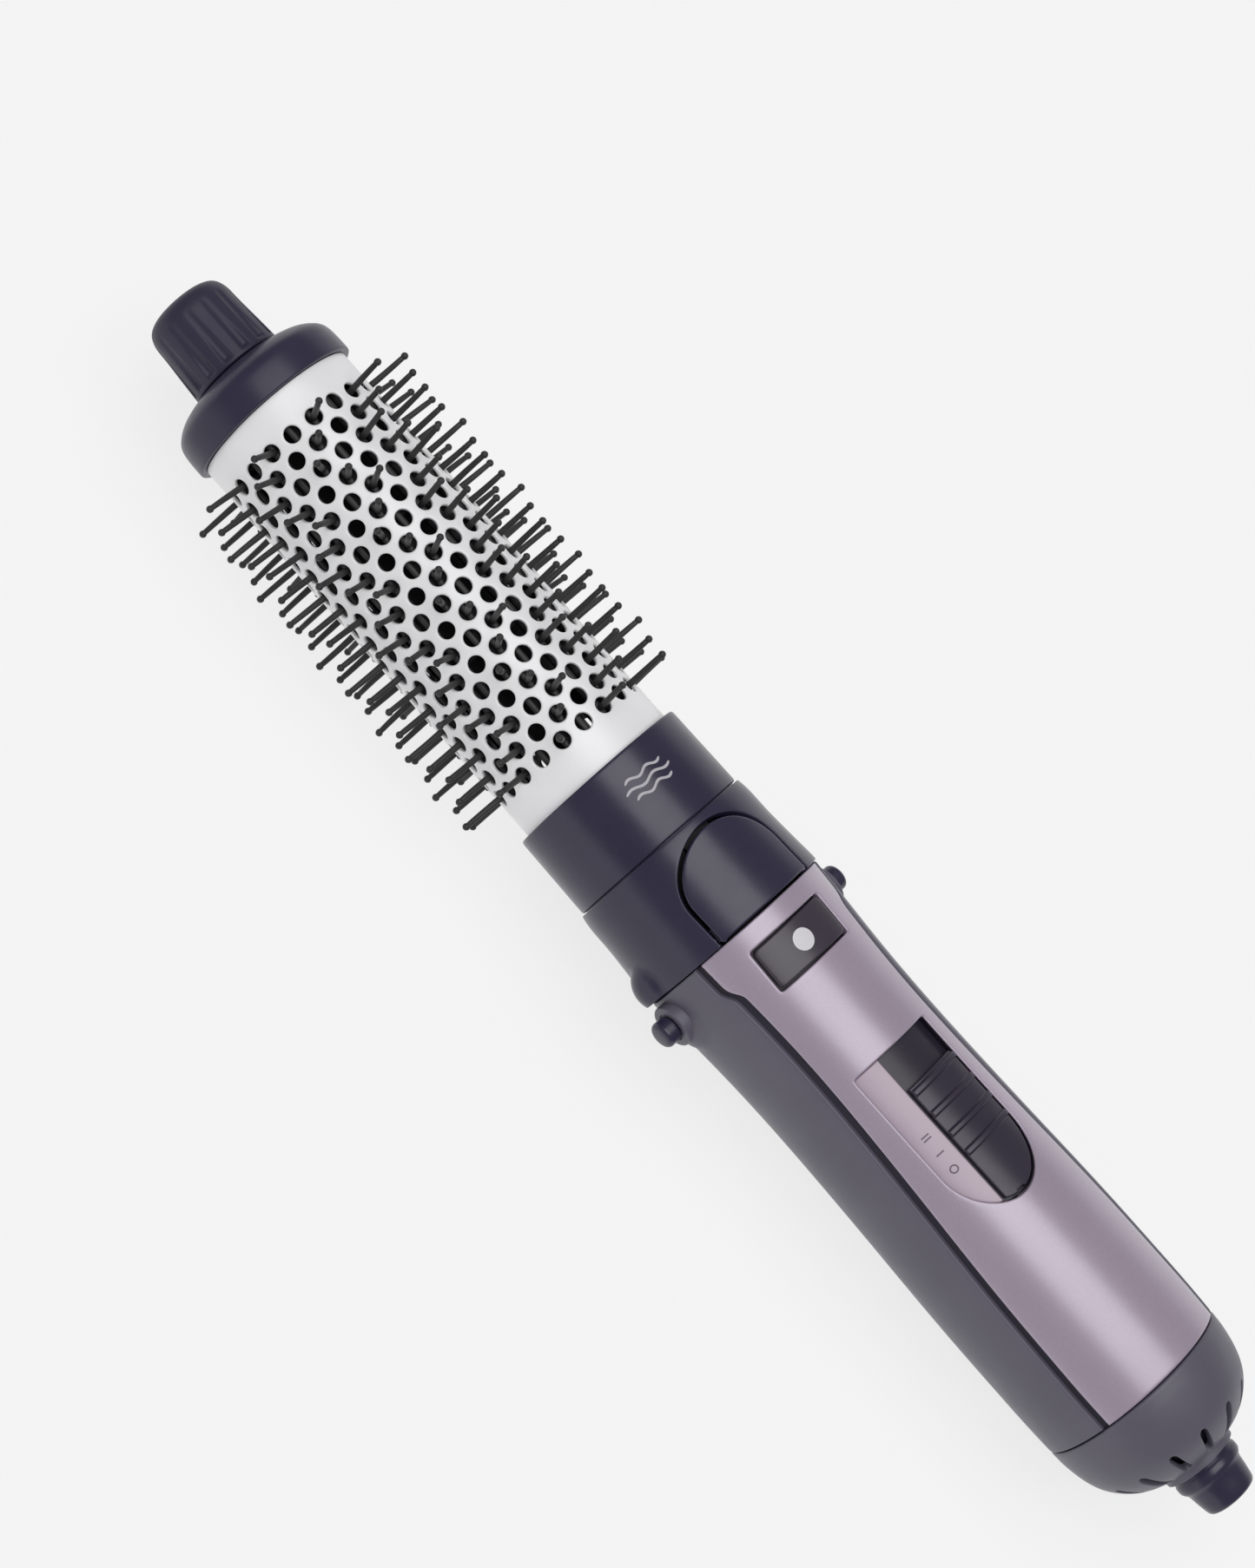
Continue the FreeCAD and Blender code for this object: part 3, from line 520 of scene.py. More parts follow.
def sd_d(s, y, s0, s1, hy, rnd, corner=0.5):
    """D outline: flat towards the tip at s0, half ellipse ending at s1."""
    cs = s1 - rnd
    back = sd_ellipse_like(s - cs, y, rnd, hy)
    qx, qy = s0 - s + corner, np.abs(y) - hy + corner
    front = np.hypot(np.maximum(qx, 0), np.maximum(qy, 0)) + np.minimum(np.maximum(qx, qy), 0) - corner
    return np.where(s > cs, np.maximum(back, s0 - s), front)


def snapper(sdf, radius, reach):
    """Moves points near the zero line of sdf(s, y) onto it; radius(s) turns angle into y."""
    def snap(u, v):
        u, v = u.copy(), v.copy()
        r = radius(u)
        y = r * np.sin(v)
        near = (np.abs(sdf(u, y)) < reach) & (np.cos(v) > 0)
        s, y = u[near], y[near]
        for _ in range(5):
            e = 1e-3
            f = sdf(s, y)
            gs = (sdf(s + e, y) - sdf(s - e, y)) / (2 * e)
            gy = (sdf(s, y + e) - sdf(s, y - e)) / (2 * e)
            q = f / np.maximum(gs * gs + gy * gy, 1e-6)
            s, y = s - np.clip(q * gs, -0.5, 0.5), y - np.clip(q * gy, -0.5, 0.5)
        u[near] = s
        v[near] = np.arcsin(np.clip(y / radius(s), -1, 1))
        return u, v
    return snap


# ------------------------------------------------------------------ brush head
def make_knob():
    t = -2.4
    prof = [(t, 0.0), (t, 5.15), (t + 0.1, 5.25), (t + 0.38, 5.40), (t + 0.42, 5.62), (t + 0.36, 5.80), (t + 0.06, 5.98), (t, 6.15)]
    nose = spline([(5.9, -2.4), (6.6, -2.37), (7.35, -2.17), (8.0, -1.86), (8.6, -1.45), (9.1, -0.88), (9.5, -0.12), (9.75, 0.6)])
    prof += [(float(nose(r)), r) for r in np.linspace(6.5, 9.75, 14)]
    side = spline([(0.6, 9.75), (1.2, 9.88), (1.8, 9.97), (2.6, 10.02), (3.6, 10.05), (9.0, 10.37), (15.7, 10.77)])
    prof += [(float(x), float(side(x))) for x in np.linspace(0.95, 15.7, 42)]
    prof += [(15.95, 10.76), (16.15, 10.68), (16.27, 10.52), (16.3, 10.3), (16.3, 8.0), (0.6, 7.6), (0.6, 0.0)]

    def radial(s, phi, r):
        if r < 9.2 or s > 16.2:
            return np.full(len(phi), float(r))
        d = np.abs((phi * 14 / (2 * np.pi) + 0.5) % 1.0 - 0.5) * 2 * np.pi / 14
        side = 1.35 ** 2 - (11.35 * np.sin(d)) ** 2
        cut = np.where(side > 0, 11.35 * np.cos(d) - np.sqrt(np.maximum(side, 0)), 11.35 + (11.35 * np.sin(d) - 1.35) * 2.2)
        on = smoothstep(0.9, 2.3, s) * (1 - smoothstep(14.6, 15.4, s))
        k = 5.0
        soft = -np.log(np.exp(-k * (np.full(len(phi), r) - r)) + np.exp(-k * (cut - r))) / k + r
        return r + (np.minimum(soft, r) - r) * on
    v, f = lathe(prof, 14 * 28, closed=False, radial=radial)
    b = Build().add(v, f)
    ob = b.make("cool_tip_knob_shape", "brush_head", 50)
    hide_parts("cool_tip_knob")
    return dress(ob, "knob_plastic")


def make_cap():
    face = spline([(9.9, 16.6), (10.8, 16.64), (12.0, 16.85), (13.7, 17.25), (15.4, 17.8), (17.0, 18.5), (18.1, 19.2)])
    crown = spline([(19.2, 18.1), (20.4, 19.4), (21.6, 20.05), (23.2, 20.35), (25.6, 20.48), (27.9, 20.48)])
    dome = [(16.6, 0.0)] + [(float(face(r)), r) for r in np.linspace(9.9, 17.9, 18)]
    dome += [(float(x), float(crown(x))) for x in np.linspace(19.3, 27.8, 24)]
    dome += [(28.05, 20.42), (28.18, 20.25), (28.2, 20.0), (28.2, 18.12), (33.0, 18.12), (33.0, 16.6), (28.2, 16.5),
            (24.0, 16.2), (20.6, 13.2), (19.2, 9.6), (19.0, 4.0), (19.0, 0.0)]
    v, f = lathe(dome, 160, closed=False)
    ob = Build().add(v, f).make("barrel_end_cap_shape", "brush_head", 50)
    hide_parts("barrel_end_cap")
    return dress(ob, "dark_plastic", "cap_plastic")


RINGS, RING_FIRST, PITCH_S = 19, 37.0, (120.5 - 37.0) / 18
BR, BI = 19.0, 18.2


def make_barrel():
    c = BR * math.radians(18.0)
    # the six corners of a cell round one hole, in the unrolled sheet
    a = 3.279
    t = PITCH_S - a
    corners = [(-a, 0.0), (-t, c / 2), (t, c / 2), (a, 0.0), (t, -c / 2), (-t, -c / 2)]
    counts = [6, 4, 6, 6, 4, 6]
    hexp = []
    for k in range(6):
        p, q = np.array(corners[k]), np.array(corners[(k + 1) % 6])
        for j in range(counts[k]):
            hexp.append(p + (q - p) * j / counts[k])
    hexp = np.array(hexp)
    ang = np.arctan2(hexp[:, 1], hexp[:, 0])
    circ = np.stack([np.cos(ang), np.sin(ang)], 1)
    m = len(hexp)
    R = 1.9
    # (blend between hexagon and circle, circle radius, barrel radius)
    loops = [(1.0, 0, BR), (0.0, R + 0.62, BR), (0.0, R + 0.40, BR - 0.004), (0.0, R + 0.26, BR - 0.025),
             (0.0, R + 0.14, BR - 0.07), (0.0, R + 0.05, BR - 0.15), (0.0, R, BR - 0.27), (0.0, R, BI + 0.1),
             (0.0, R + 0.08, BI), (1.0, 0, BI)]
    build = Build()
    for i in range(RINGS):
        s0 = RING_FIRST + i * PITCH_S
        first = 9.0 if i % 2 == 0 else 0.0
        for k in range(20):
            phi0 = math.radians(first + 18.0 * k)
            verts = []
            for w, rr, rad in loops:
                q = hexp if w == 1.0 else circ * rr
                verts.append(pos(s0 + q[:, 0], phi0 + q[:, 1] / BR, np.full(m, rad)))
            faces = []
            for a_ in range(len(loops) - 1):
                for j in range(m):
                    j2 = (j + 1) % m
                    faces.append((a_ * m + j, a_ * m + j2, (a_ + 1) * m + j2, (a_ + 1) * m + j))
            build.add(np.concatenate(verts), faces)
    # plain bands at both ends: zigzag border of the cells out to the straight rims
    for end, ring, ends in ((-1, 0, 28.3), (1, RINGS - 1, 136.9)):
        s0 = RING_FIRST + ring * PITCH_S
        first = 9.0
        zig = [(end * t, -c / 2)] + []
        seg1 = [(np.array((end * t, -c / 2)), np.array((end * a, 0.0))), (np.array((end * a, 0.0)), np.array((end * t, c / 2)))]
        cell = []
        for p, q in seg1:
            for j in range(6):
                cell.append(p + (q - p) * j / 6)
        line_s, line_p = [], []
        for k in range(20):
            for p in cell:
                line_s.append(s0 + p[0])
                line_p.append(math.radians(first + 18.0 * k) + p[1] / BR)
        line_s, line_p = np.array(line_s), np.array(line_p)
        n = len(line_s)
        rows = []
        for w in np.linspace(0, 1, 7 if end < 0 else 14):
            ss = line_s + (ends - end * 0.15 - line_s) * w
            rows.append(pos(ss, line_p, np.full(n, BR)))
        rows.append(pos(np.full(n, ends - end * 0.04), line_p, np.full(n, BR - 0.05)))
        rows.append(pos(np.full(n, ends), line_p, np.full(n, BR - 0.15)))
        rows.append(pos(np.full(n, ends), line_p, np.full(n, BI)))
        rows.append(pos(line_s, line_p, np.full(n, BI)))
        faces = []
        for a_ in range(len(rows) - 1):
            for j in range(n):
                j2 = (j + 1) % n
                faces.append((a_ * n + j, a_ * n + j2, (a_ + 1) * n + j2, (a_ + 1) * n + j))
        build.add(np.concatenate(rows), faces)
    ob = build.make("barrel_shape", "brush_head", 50)
    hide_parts("barrel")
    return dress(ob, "barrel_metal")


def pin(rng, s, phi, r_tip, r_ball=0.82, segs=10):
    """One nylon pin: slightly tapered, a little bowed and leaning, with a ball end."""
    ls, lp = rng.gauss(0, 0.16), rng.gauss(0, 0.16)
    bow_s, bow_p = rng.gauss(0, 0.06), rng.gauss(0, 0.06)
    top = r_tip - r_ball - 0.02 - min(abs(rng.gauss(0, 0.16)), 0.45)
    prof = [(16.9, 0.76), (18.2, 0.74), (20.5, 0.70), (23.0, 0.66), (25.5, 0.63), (top - 0.72, 0.60)]
    prof = [p for p in prof if p[0] <= top - 0.7]
    n = 6
    ball = []
    for k in range(n + 1):
        a = math.radians(-48 + (138.0) * k / n)
        ball.append((top + r_ball * math.sin(a), max(r_ball * math.cos(a), 0.0)))
    ring = prof + ball
    er = np.array([0, math.sin(phi), math.cos(phi)])
    et = np.array([0, math.cos(phi), -math.sin(phi)])
    ex = np.array([-1.0, 0, 0])
    base = np.array([TIP_X - s, 0, AXIS_Z])
    verts, faces = [base + er * 16.9], []
    rows = []
    for rad, w in ring:
        t = (rad - 17.5) / 11.0
        t = max(t, 0.0)
        cen = base + er * rad + ex * (ls * t + bow_s * 4 * t * (1 - min(t, 1))) + et * (lp * t + bow_p * 4 * t * (1 - min(t, 1)))
        if w < 1e-4:
            rows.append([len(verts)] * segs)
            verts.append(cen)
            continue
        rows.append(list(range(len(verts), len(verts) + segs)))
        for j in range(segs):
            a = 2 * math.pi * j / segs
            verts.append(cen + (ex * math.cos(a) + et * math.sin(a)) * w)
    for j in range(segs):
        faces.append((0, rows[0][(j + 1) % segs], rows[0][j]))
    for a, b in zip(rows, rows[1:]):
        for j in range(segs):
            j2 = (j + 1) % segs
            q = [a[j], a[j2], b[j2], b[j]]
            q = [x for kk, x in enumerate(q) if x != q[kk - 1]]
            faces.append(q)
    return np.array(verts), faces


def rail(phi):
    """Rounded rail that carries one row of pins inside the barrel."""
    s0, s1, h, w = RING_FIRST - 2.4, 120.5 + 2.4, 0.6, 0.7
    er = np.array([0, math.sin(phi), math.cos(phi)])
    et = np.array([0, math.cos(phi), -math.sin(phi)])
    sec = [(-w, -h), (-w, h * 0.5), (-w * 0.7, h), (w * 0.7, h), (w, h * 0.5), (w, -h)]
    verts = []
    for s in (s0, s1):
        for a, b in sec:
            verts.append(np.array([TIP_X - s, 0, AXIS_Z]) + er * (16.8 + b) + et * a)
    n = len(sec)
    faces = [tuple(range(n)), tuple(range(2 * n - 1, n - 1, -1))]
    faces += [(j, (j + 1) % n, n + (j + 1) % n, n + j) for j in range(n)]
    return np.array(verts), faces


def make_bristles():
    rng = random.Random(20261)
    for node, parity, r_tip in (("bristle_strips_long", 0, 29.2), ("bristle_strips_short", 1, 28.4)):
        b = Build()
        for k in range(20):
            if parity == 1 and k % 2 == 0:
                continue
            phi = math.radians((9.0 if parity == 0 else 0.0) + 18.0 * k)
            b.add(*rail(phi))
            rings = range(1, RINGS, 2) if parity else range(0 if k % 2 == 0 else 2, RINGS, 4)
            for i in rings:
                v, f = pin(rng, RING_FIRST + i * PITCH_S, phi, r_tip)
                v[:, 1] = np.clip(v[:, 1], -28.84, 28.84)
                v[:, 2] = np.clip(v[:, 2], 0.001, 2 * AXIS_Z - 0.001)
                b.add(v, f)
        ob = b.make(node + "_shape", "brush_head", 60)
        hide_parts(node)
        dress(ob, "bristle_nylon")


def make_collar():
    prof = [(130.2, 19.03), (130.2, 20.45), (130.24, 20.62), (130.38, 20.78), (130.65, 20.89), (131.2, 20.94), (134.5, 20.98),
            (139.0, 21.04), (144.0, 21.11), (149.3, 21.18), (149.6, 21.14), (149.8, 21.05), (149.92, 20.93), (149.97, 20.75),
            (149.98, 20.55), (149.64, 20.55), (149.64, 18.1), (149.6, 17.75), (149.2, 17.5), (146.8, 17.5), (146.8, 18.9), (143.8, 18.9), (143.8, 17.5), (138.6, 17.5), (138.6, 16.3), (137.1, 16.3), (137.1, 19.03)]
    v, f = lathe(prof, 180, closed=True)
    ob = Build().add(v, f).make("head_collar_shape", "brush_head", 50)
    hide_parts("head_collar")
    dress(ob, "dark_plastic")
    # generic air-flow sign: three short waves, printed slightly proud of the collar
    b = Build()
    for row, (sc, half) in enumerate(((136.0, 5.0), (138.0, 6.2), (140.0, 5.0))):
        phis = np.linspace(-half, half, 49)
        wave = 0.42 * np.sin(phis / half * math.pi * 2.0)
        wid = 0.30 * np.clip((half - np.abs(phis)) / 0.4, 0.25, 1.0) ** 0.5
        r_here = 21.0
        verts, faces = [], []
        for a, wv, wd in zip(phis, wave, wid):
            ang = math.radians(4.0) + a / r_here
            sr = sc + wv
            base_r = float(np.interp(sr, [131.2, 134.5, 139.0, 144.0], [20.94, 20.98, 21.04, 21.11]))
            for ds, dr in ((-wd, -0.08), (-wd, 0.02), (-wd * 0.6, 0.045), (wd * 0.6, 0.045), (wd, 0.02), (wd, -0.08)):
                verts.append(pos(sr + ds, ang, base_r + dr))
        n = 6
        for i in range(len(phis) - 1):
            for j in range(n):
                j2 = (j + 1) % n
                faces.append((i * n + j, i * n + j2, (i + 1) * n + j2, (i + 1) * n + j))
        faces.append(tuple(range(n)))
        faces.append(tuple((len(phis) - 1) * n + j for j in reversed(range(n))))
        b.add(np.array(verts), faces)
    mk = b.make("collar_air_sign", "brush_head", 50)
    dress(mk, "mark_white", "print")


# ------------------------------------------------------------------ nose and key
def nose_radius(s, phi, off=0.0):
    r = NOSE(s) + off
    out = r
    for side in (1, -1):
        b = sphere_bump(s, phi, 171.0, side * 19.2, -1.4, 6.45)
        out = np.where(b > r - 1.5, smax(out, b, 3.2), out)
    return out


def make_nose():
    edge = 0.22
    arch = lambda s, y: sd_arch(s, y, 12.6 + edge, 13.5 + edge)
    surf = lambda u, v: pos(u, v, np.where(np.cos(v) > 0.55, NOSE(u), nose_radius(u, v)))
    us = steps([150.15 + edge, 152.0, 173.4 - edge], 0.5)
    phis = np.linspace(-np.pi, np.pi, 260, endpoint=False)
    keep = lambda u, v: ~((np.cos(v) > 0) & (arch(u, NOSE(u) * np.sin(v)) < 0))
    v, f = patch(surf, us, lambda u: phis, keep=keep, snap=snapper(arch, NOSE, 0.6), r=edge, depth=1.9, wrap=True)
    b = Build().add(v, f)
    v, f = lathe([(149.78, 18.3), (149.78, 20.4), (150.25, 20.4), (150.25, 21.0), (151.9, 21.0), (151.9, 17.5),
                  (150.2, 17.5), (150.2, 18.3)], 120, closed=True)
    b.add(v, f)
    # lip that reaches into the handle shells, left open round the key
    lip = []
    for s, r in ((172.0, 21.2), (173.2, 21.3), (173.2, 20.0), (176.0, 20.0), (176.0, 18.8), (172.0, 18.8)):
        lip.append((s, r))
    b.add(*sector(lip, math.radians(112), math.radians(248), 60))
    ob = b.make("nose_ring_shape", "handle", 42)
    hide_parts("nose_ring")
    dress(ob, "dark_plastic")


def sector(profile, a0, a1, n):
    """Closed part of a turned ring between two angles."""
    verts, m = [], len(profile)
    for a in np.linspace(a0, a1, n + 1):
        for s, r in profile:
            verts.append(pos(s, a, r))
    faces = []
    for i in range(n):
        for j in range(m):
            j2 = (j + 1) % m
            faces.append((i * m + j, i * m + j2, (i + 1) * m + j2, (i + 1) * m + j))
    faces.append(tuple(range(m)))
    faces.append(tuple(n * m + j for j in reversed(range(m))))
    return np.array(verts), faces


def brick(s0, s1, y0, y1, z0, z1, r=0.3):
    """Block with bevelled edges, z measured from the axis."""
    xs, ys, zs = sorted((TIP_X - s0, TIP_X - s1)), (y0, y1), (AXIS_Z + z0, AXIS_Z + z1)
    bm = bmesh.new()
    bmesh.ops.create_cube(bm, size=1.0)
    for v in bm.verts:
        v.co = Vector((xs[0] if v.co.x < 0 else xs[1], ys[0] if v.co.y < 0 else ys[1], zs[0] if v.co.z < 0 else zs[1]))
    bmesh.ops.bevel(bm, geom=bm.edges[:], offset=r, segments=2, affect="EDGES", profile=0.5)
    bm.verts.ensure_lookup_table()
    verts = [tuple(v.co) for v in bm.verts]
    faces = [tuple(v.index for v in f.verts) for f in bm.faces]
    bm.free()
    return np.array(verts), faces


def make_key():
    edge = 0.45
    out = 0.15
    arch = lambda s, y: sd_arch(s, y, 11.6 - edge, 12.9 - edge)
    rad = lambda s: NOSE(s) + out
    surf = lambda u, v: pos(u, v, rad(u))
    us = steps([153.0 + 0.02, 164.6, 173.0 - edge], 0.45)
    ys = np.linspace(-12.9, 12.9, 64)

    def vs(u):
        return np.arcsin(np.clip(ys / rad(u), -1, 1))
    b = Build()
    half = np.linspace(-12.45, 12.45, 61)
    vs2 = lambda u: np.arcsin(half / rad(u))
    keep = lambda u, v: arch(u, rad(u) * np.sin(v)) < 0
    v, f = patch(surf, us, vs2, keep=keep, snap=snapper(arch, rad, 0.7), r=edge, depth=1.85)
    b.add(v, f)
    a = math.acos(-4.2 / 20.1)
    b.add(*sector([(169.4, 18.6), (169.4, 20.1), (172.7, 20.1), (172.7, 18.6)], -a, a, 90))
    a = math.asin(12.3 / 21.3)
    b.add(*sector([(169.4, 19.5), (169.4, 21.6), (172.5, 21.8), (172.5, 19.5)], -a, a, 24))
    b.add(*brick(169.5, 182.2, 17.8, 19.2, -4.2, 1.4))
    b.add(*brick(169.5, 182.2, -19.2, -17.8, -4.2, 1.4))
    b.add(*brick(154.6, 157.4, -2.0, 2.0, 17.2, 20.9))
    ob = b.make("release_key_shape", "release_key", 42)
    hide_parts("release_key")
    dress(ob, "dark_plastic")


def turned_y(profile, s, z, side, segs=48):
    """Closed turned shape about a crosswise axis from (|y|, radius) points."""
    verts, rows = [], []
    for y, r in profile:
        if r < 1e-6:
            rows.append([len(verts)] * segs)
            verts.append((TIP_X - s, side * y, AXIS_Z + z))
            continue
        rows.append(list(range(len(verts), len(verts) + segs)))
        for j in range(segs):
            a = 2 * math.pi * j / segs
            verts.append((TIP_X - s + r * math.cos(a), side * y, AXIS_Z + z + r * math.sin(a)))
    faces = []
    for p, q in zip(rows, rows[1:]):
        for j in range(segs):
            j2 = (j + 1) % segs
            g = [p[j], p[j2], q[j2], q[j]]
            g = [x for k, x in enumerate(g) if x != g[k - 1]]
            faces.append(g)
    return np.array(verts), faces


def make_pins():
    b = Build()
    head = [(17.5, 0.0), (17.5, 1.45), (17.65, 1.6), (24.7, 1.6), (24.7, 2.85), (24.8, 3.0), (27.0, 3.0)]
    for k in range(1, 9):
        a = k / 8 * math.pi / 2
        head.append((27.0 + 1.1 * math.sin(a), 1.9 + 1.1 * math.cos(a)))
    head += [(28.16, 1.5), (28.2, 1.0), (28.2, 0.0)]
    for side in (1, -1):
        b.add(*turned_y(head, 179.5, -1.4, side, 64))
    ob = b.make("pivot_pins_shape", "handle", 50)
    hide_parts("pivot_pins")
    dress(ob, "dark_plastic")


# ------------------------------------------------------------------ handle shells
def handle_radius(s, phi):
    r = HANDLE(s)
    out = r
    for side in (1, -1):
        bump = sphere_bump(s, phi, 182.1, side * 16.0, -1.4, 7.95)
        out = np.where(bump > r - 1.5, smax(out, bump, 3.0), out)
    return out


WIN = (178.2, 188.6, 10.35)
DOP = (211.6, 251.4, 10.9, 13.0)


def make_front():
    edge = 0.38
    hole = lambda s, y: np.minimum(sd_box(s, y, WIN[0] - edge, WIN[1] + edge, WIN[2] + edge, 1.0),
                                   sd_d(s, y, DOP[0] - edge, DOP[1] + edge, DOP[2] + edge, DOP[3] + edge, 1.0))
    surf = lambda u, v: pos(u, v, HANDLE(u))
    us = steps([173.65 + edge, WIN[0] - edge, WIN[1] + edge, DOP[0] - edge, 226.0, 238.4, DOP[1] + edge, 298.0 - edge], 0.55)

    def vs(u):
        r = float(HANDLE(u))
        z = float(seam_z(u)) + 0.75
        top = math.acos(z / r) - edge / r
        yc = WIN[2] + edge if u < 200 else DOP[2] + edge
        w = float(smoothstep(192, 208, u))
        yc = (WIN[2] + edge) * (1 - w) + (DOP[2] + edge) * w
        inner = np.arcsin(np.linspace(-yc, yc, 45) / r)
        side = np.linspace(inner[-1], top, 19)[1:]
        return np.concatenate([-side[::-1], inner, side])
    keep = lambda u, v: hole(u, HANDLE(u) * np.sin(v)) > 0

    def down(P, N):
        # straight walls round the openings, square to the surface at the seams
        w = smoothstep(12.0, 15.0, np.abs(P[:, 1]))[:, None]
        d = (1 - w) * np.array([0.0, 0.0, 1.0]) + w * N
        return d / np.linalg.norm(d, axis=1, keepdims=True)
    v, f = patch(surf, us, vs, keep=keep, snap=snapper(hole, HANDLE, 0.62), r=edge, depth=2.2, down=down)
    ob = Build().add(v, f).make("front_shell_shape", "handle", 42)
    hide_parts("front_shell")
    dress(ob, "lilac_shell")


def make_rear():
    edge = 0.38
    surf = lambda u, v: pos(u, v, handle_radius(u, v))
    us = steps([173.65 + edge, 190.0, 298.0 - edge], 0.55)

    def vs(u):
        r = float(HANDLE(u))
        z = float(seam_z(u)) - 0.75
        lo = math.acos(z / r) + edge / r
        return np.linspace(lo, 2 * math.pi - lo, 191)
    v, f = patch(surf, us, vs, r=edge, depth=2.2)
    b = Build().add(v, f)
    # round bosses that carry the pivot pins
    for side in (1, -1):
        prof = [(19.35, 0.0), (19.35, 4.9), (24.25, 4.9)]
        for k in range(1, 6):
            a = k / 5 * math.pi / 2
            prof.append((24.25 + 0.4 * math.sin(a), 4.5 + 0.4 * math.cos(a)))
        prof += [(24.62, 3.3), (24.3, 3.15), (24.3, 0.0)]
        b.add(*turned_y(prof, 179.5, -1.4, side, 72))
    # lip that closes the groove between the shells from inside
    ob = b.make("rear_shell_shape", "handle", 42)
    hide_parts("rear_shell")
    dress(ob, "grey_shell")
    b = Build()
    for side in (1, -1):
        verts, faces = [], []
        ss = steps([173.8, 184.0, 297.8], 1.5)
        for s in ss:
            r = float(HANDLE(s))
            z = float(seam_z(s))
            lo, hi = math.acos((z + 1.6) / r), math.acos((z - 1.6) / r)
            for a, d in ((lo, 1.3), (hi, 1.3), (hi, 2.1), (lo, 2.1)):
                verts.append(pos(s, side * a, r - d))
        n = 4
        for i in range(len(ss) - 1):
            for j in range(n):
                j2 = (j + 1) % n
                faces.append((i * n + j, i * n + j2, (i + 1) * n + j2, (i + 1) * n + j))
        faces.append(tuple(range(n)))
        faces.append(tuple((len(ss) - 1) * n + j for j in reversed(range(n))))
        b.add(np.array(verts), faces)
    lip = b.make("seam_lip_shape", "handle", 42)
    # the lip is coloured darker than the rear shell: painted shade in the groove between the shells
    dress(lip, "grey_shell", "seam")


# ------------------------------------------------------------------ button and switch
def make_button():
    edge = 0.45
    s0, s1, hy = WIN[0] + 0.45 + edge, WIN[1] - 0.45 - edge, WIN[2] - 0.4 - edge
    rad = lambda s: HANDLE(s) - 0.05
    box_ = lambda s, y: sd_box(s, y, s0, s1, hy, 0.7)
    dot = lambda s, y: 2.47 + 0.12 - np.hypot(s - 183.4, y)
    both = lambda s, y: np.maximum(box_(s, y), dot(s, y))
    surf = lambda u, v: pos(u, v, rad(u))
    us = steps([s0, 183.4, s1], 0.32)
    ys = np.linspace(-hy, hy, 60)
    v, f = patch(surf, us, lambda u: np.arcsin(ys / rad(u)), keep=lambda u, v: both(u, rad(u) * np.sin(v)) < 0,
                 snap=snapper(both, rad, 0.45), r=0.12, depth=3.0)
    b = Build()
    # the outer rim is rounded wider than the rim of the inlay: two passes share the same outline
    v, f = patch(surf, us, lambda u: np.arcsin(ys / rad(u)), keep=lambda u, v: box_(u, rad(u) * np.sin(v)) < 0,
                 snap=snapper(box_, rad, 0.45), r=edge, depth=3.0)
    b.add(v, f)
    b.add(*brick(187.9, 191.0, -2.0, 2.0, 17.95, 18.7))
    a = math.asin(11.1 / 20.0)
    b.add(*sector([(177.6, 19.2), (177.6, 19.7), (189.1, 19.1), (189.1, 18.6)], -a, a, 24))
    ob = b.make("cool_button_shape", "cool_button", 42)
    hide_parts("cool_button")
    dress(ob, "button_plastic")
    # white inlay, a hair proud of the button
    radm = lambda s: HANDLE(s) - 0.01
    disc = lambda s, y: np.hypot(s - 183.4, y) - 2.33
    us = steps([183.4 - 2.33, 183.4, 183.4 + 2.33], 0.16)
    ys = np.linspace(-2.33, 2.33, 30)
    v, f = patch(lambda u, v: pos(u, v, radm(u)), us, lambda u: np.arcsin(ys / radm(u)),
                 keep=lambda u, v: disc(u, radm(u) * np.sin(v)) < 0, snap=snapper(disc, radm, 0.3), r=0.12, depth=0.9)
    ob = Build().add(v, f).make("cool_button_mark_shape", "cool_button", 42)
    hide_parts("cool_button_mark")
    dress(ob, "mark_white")


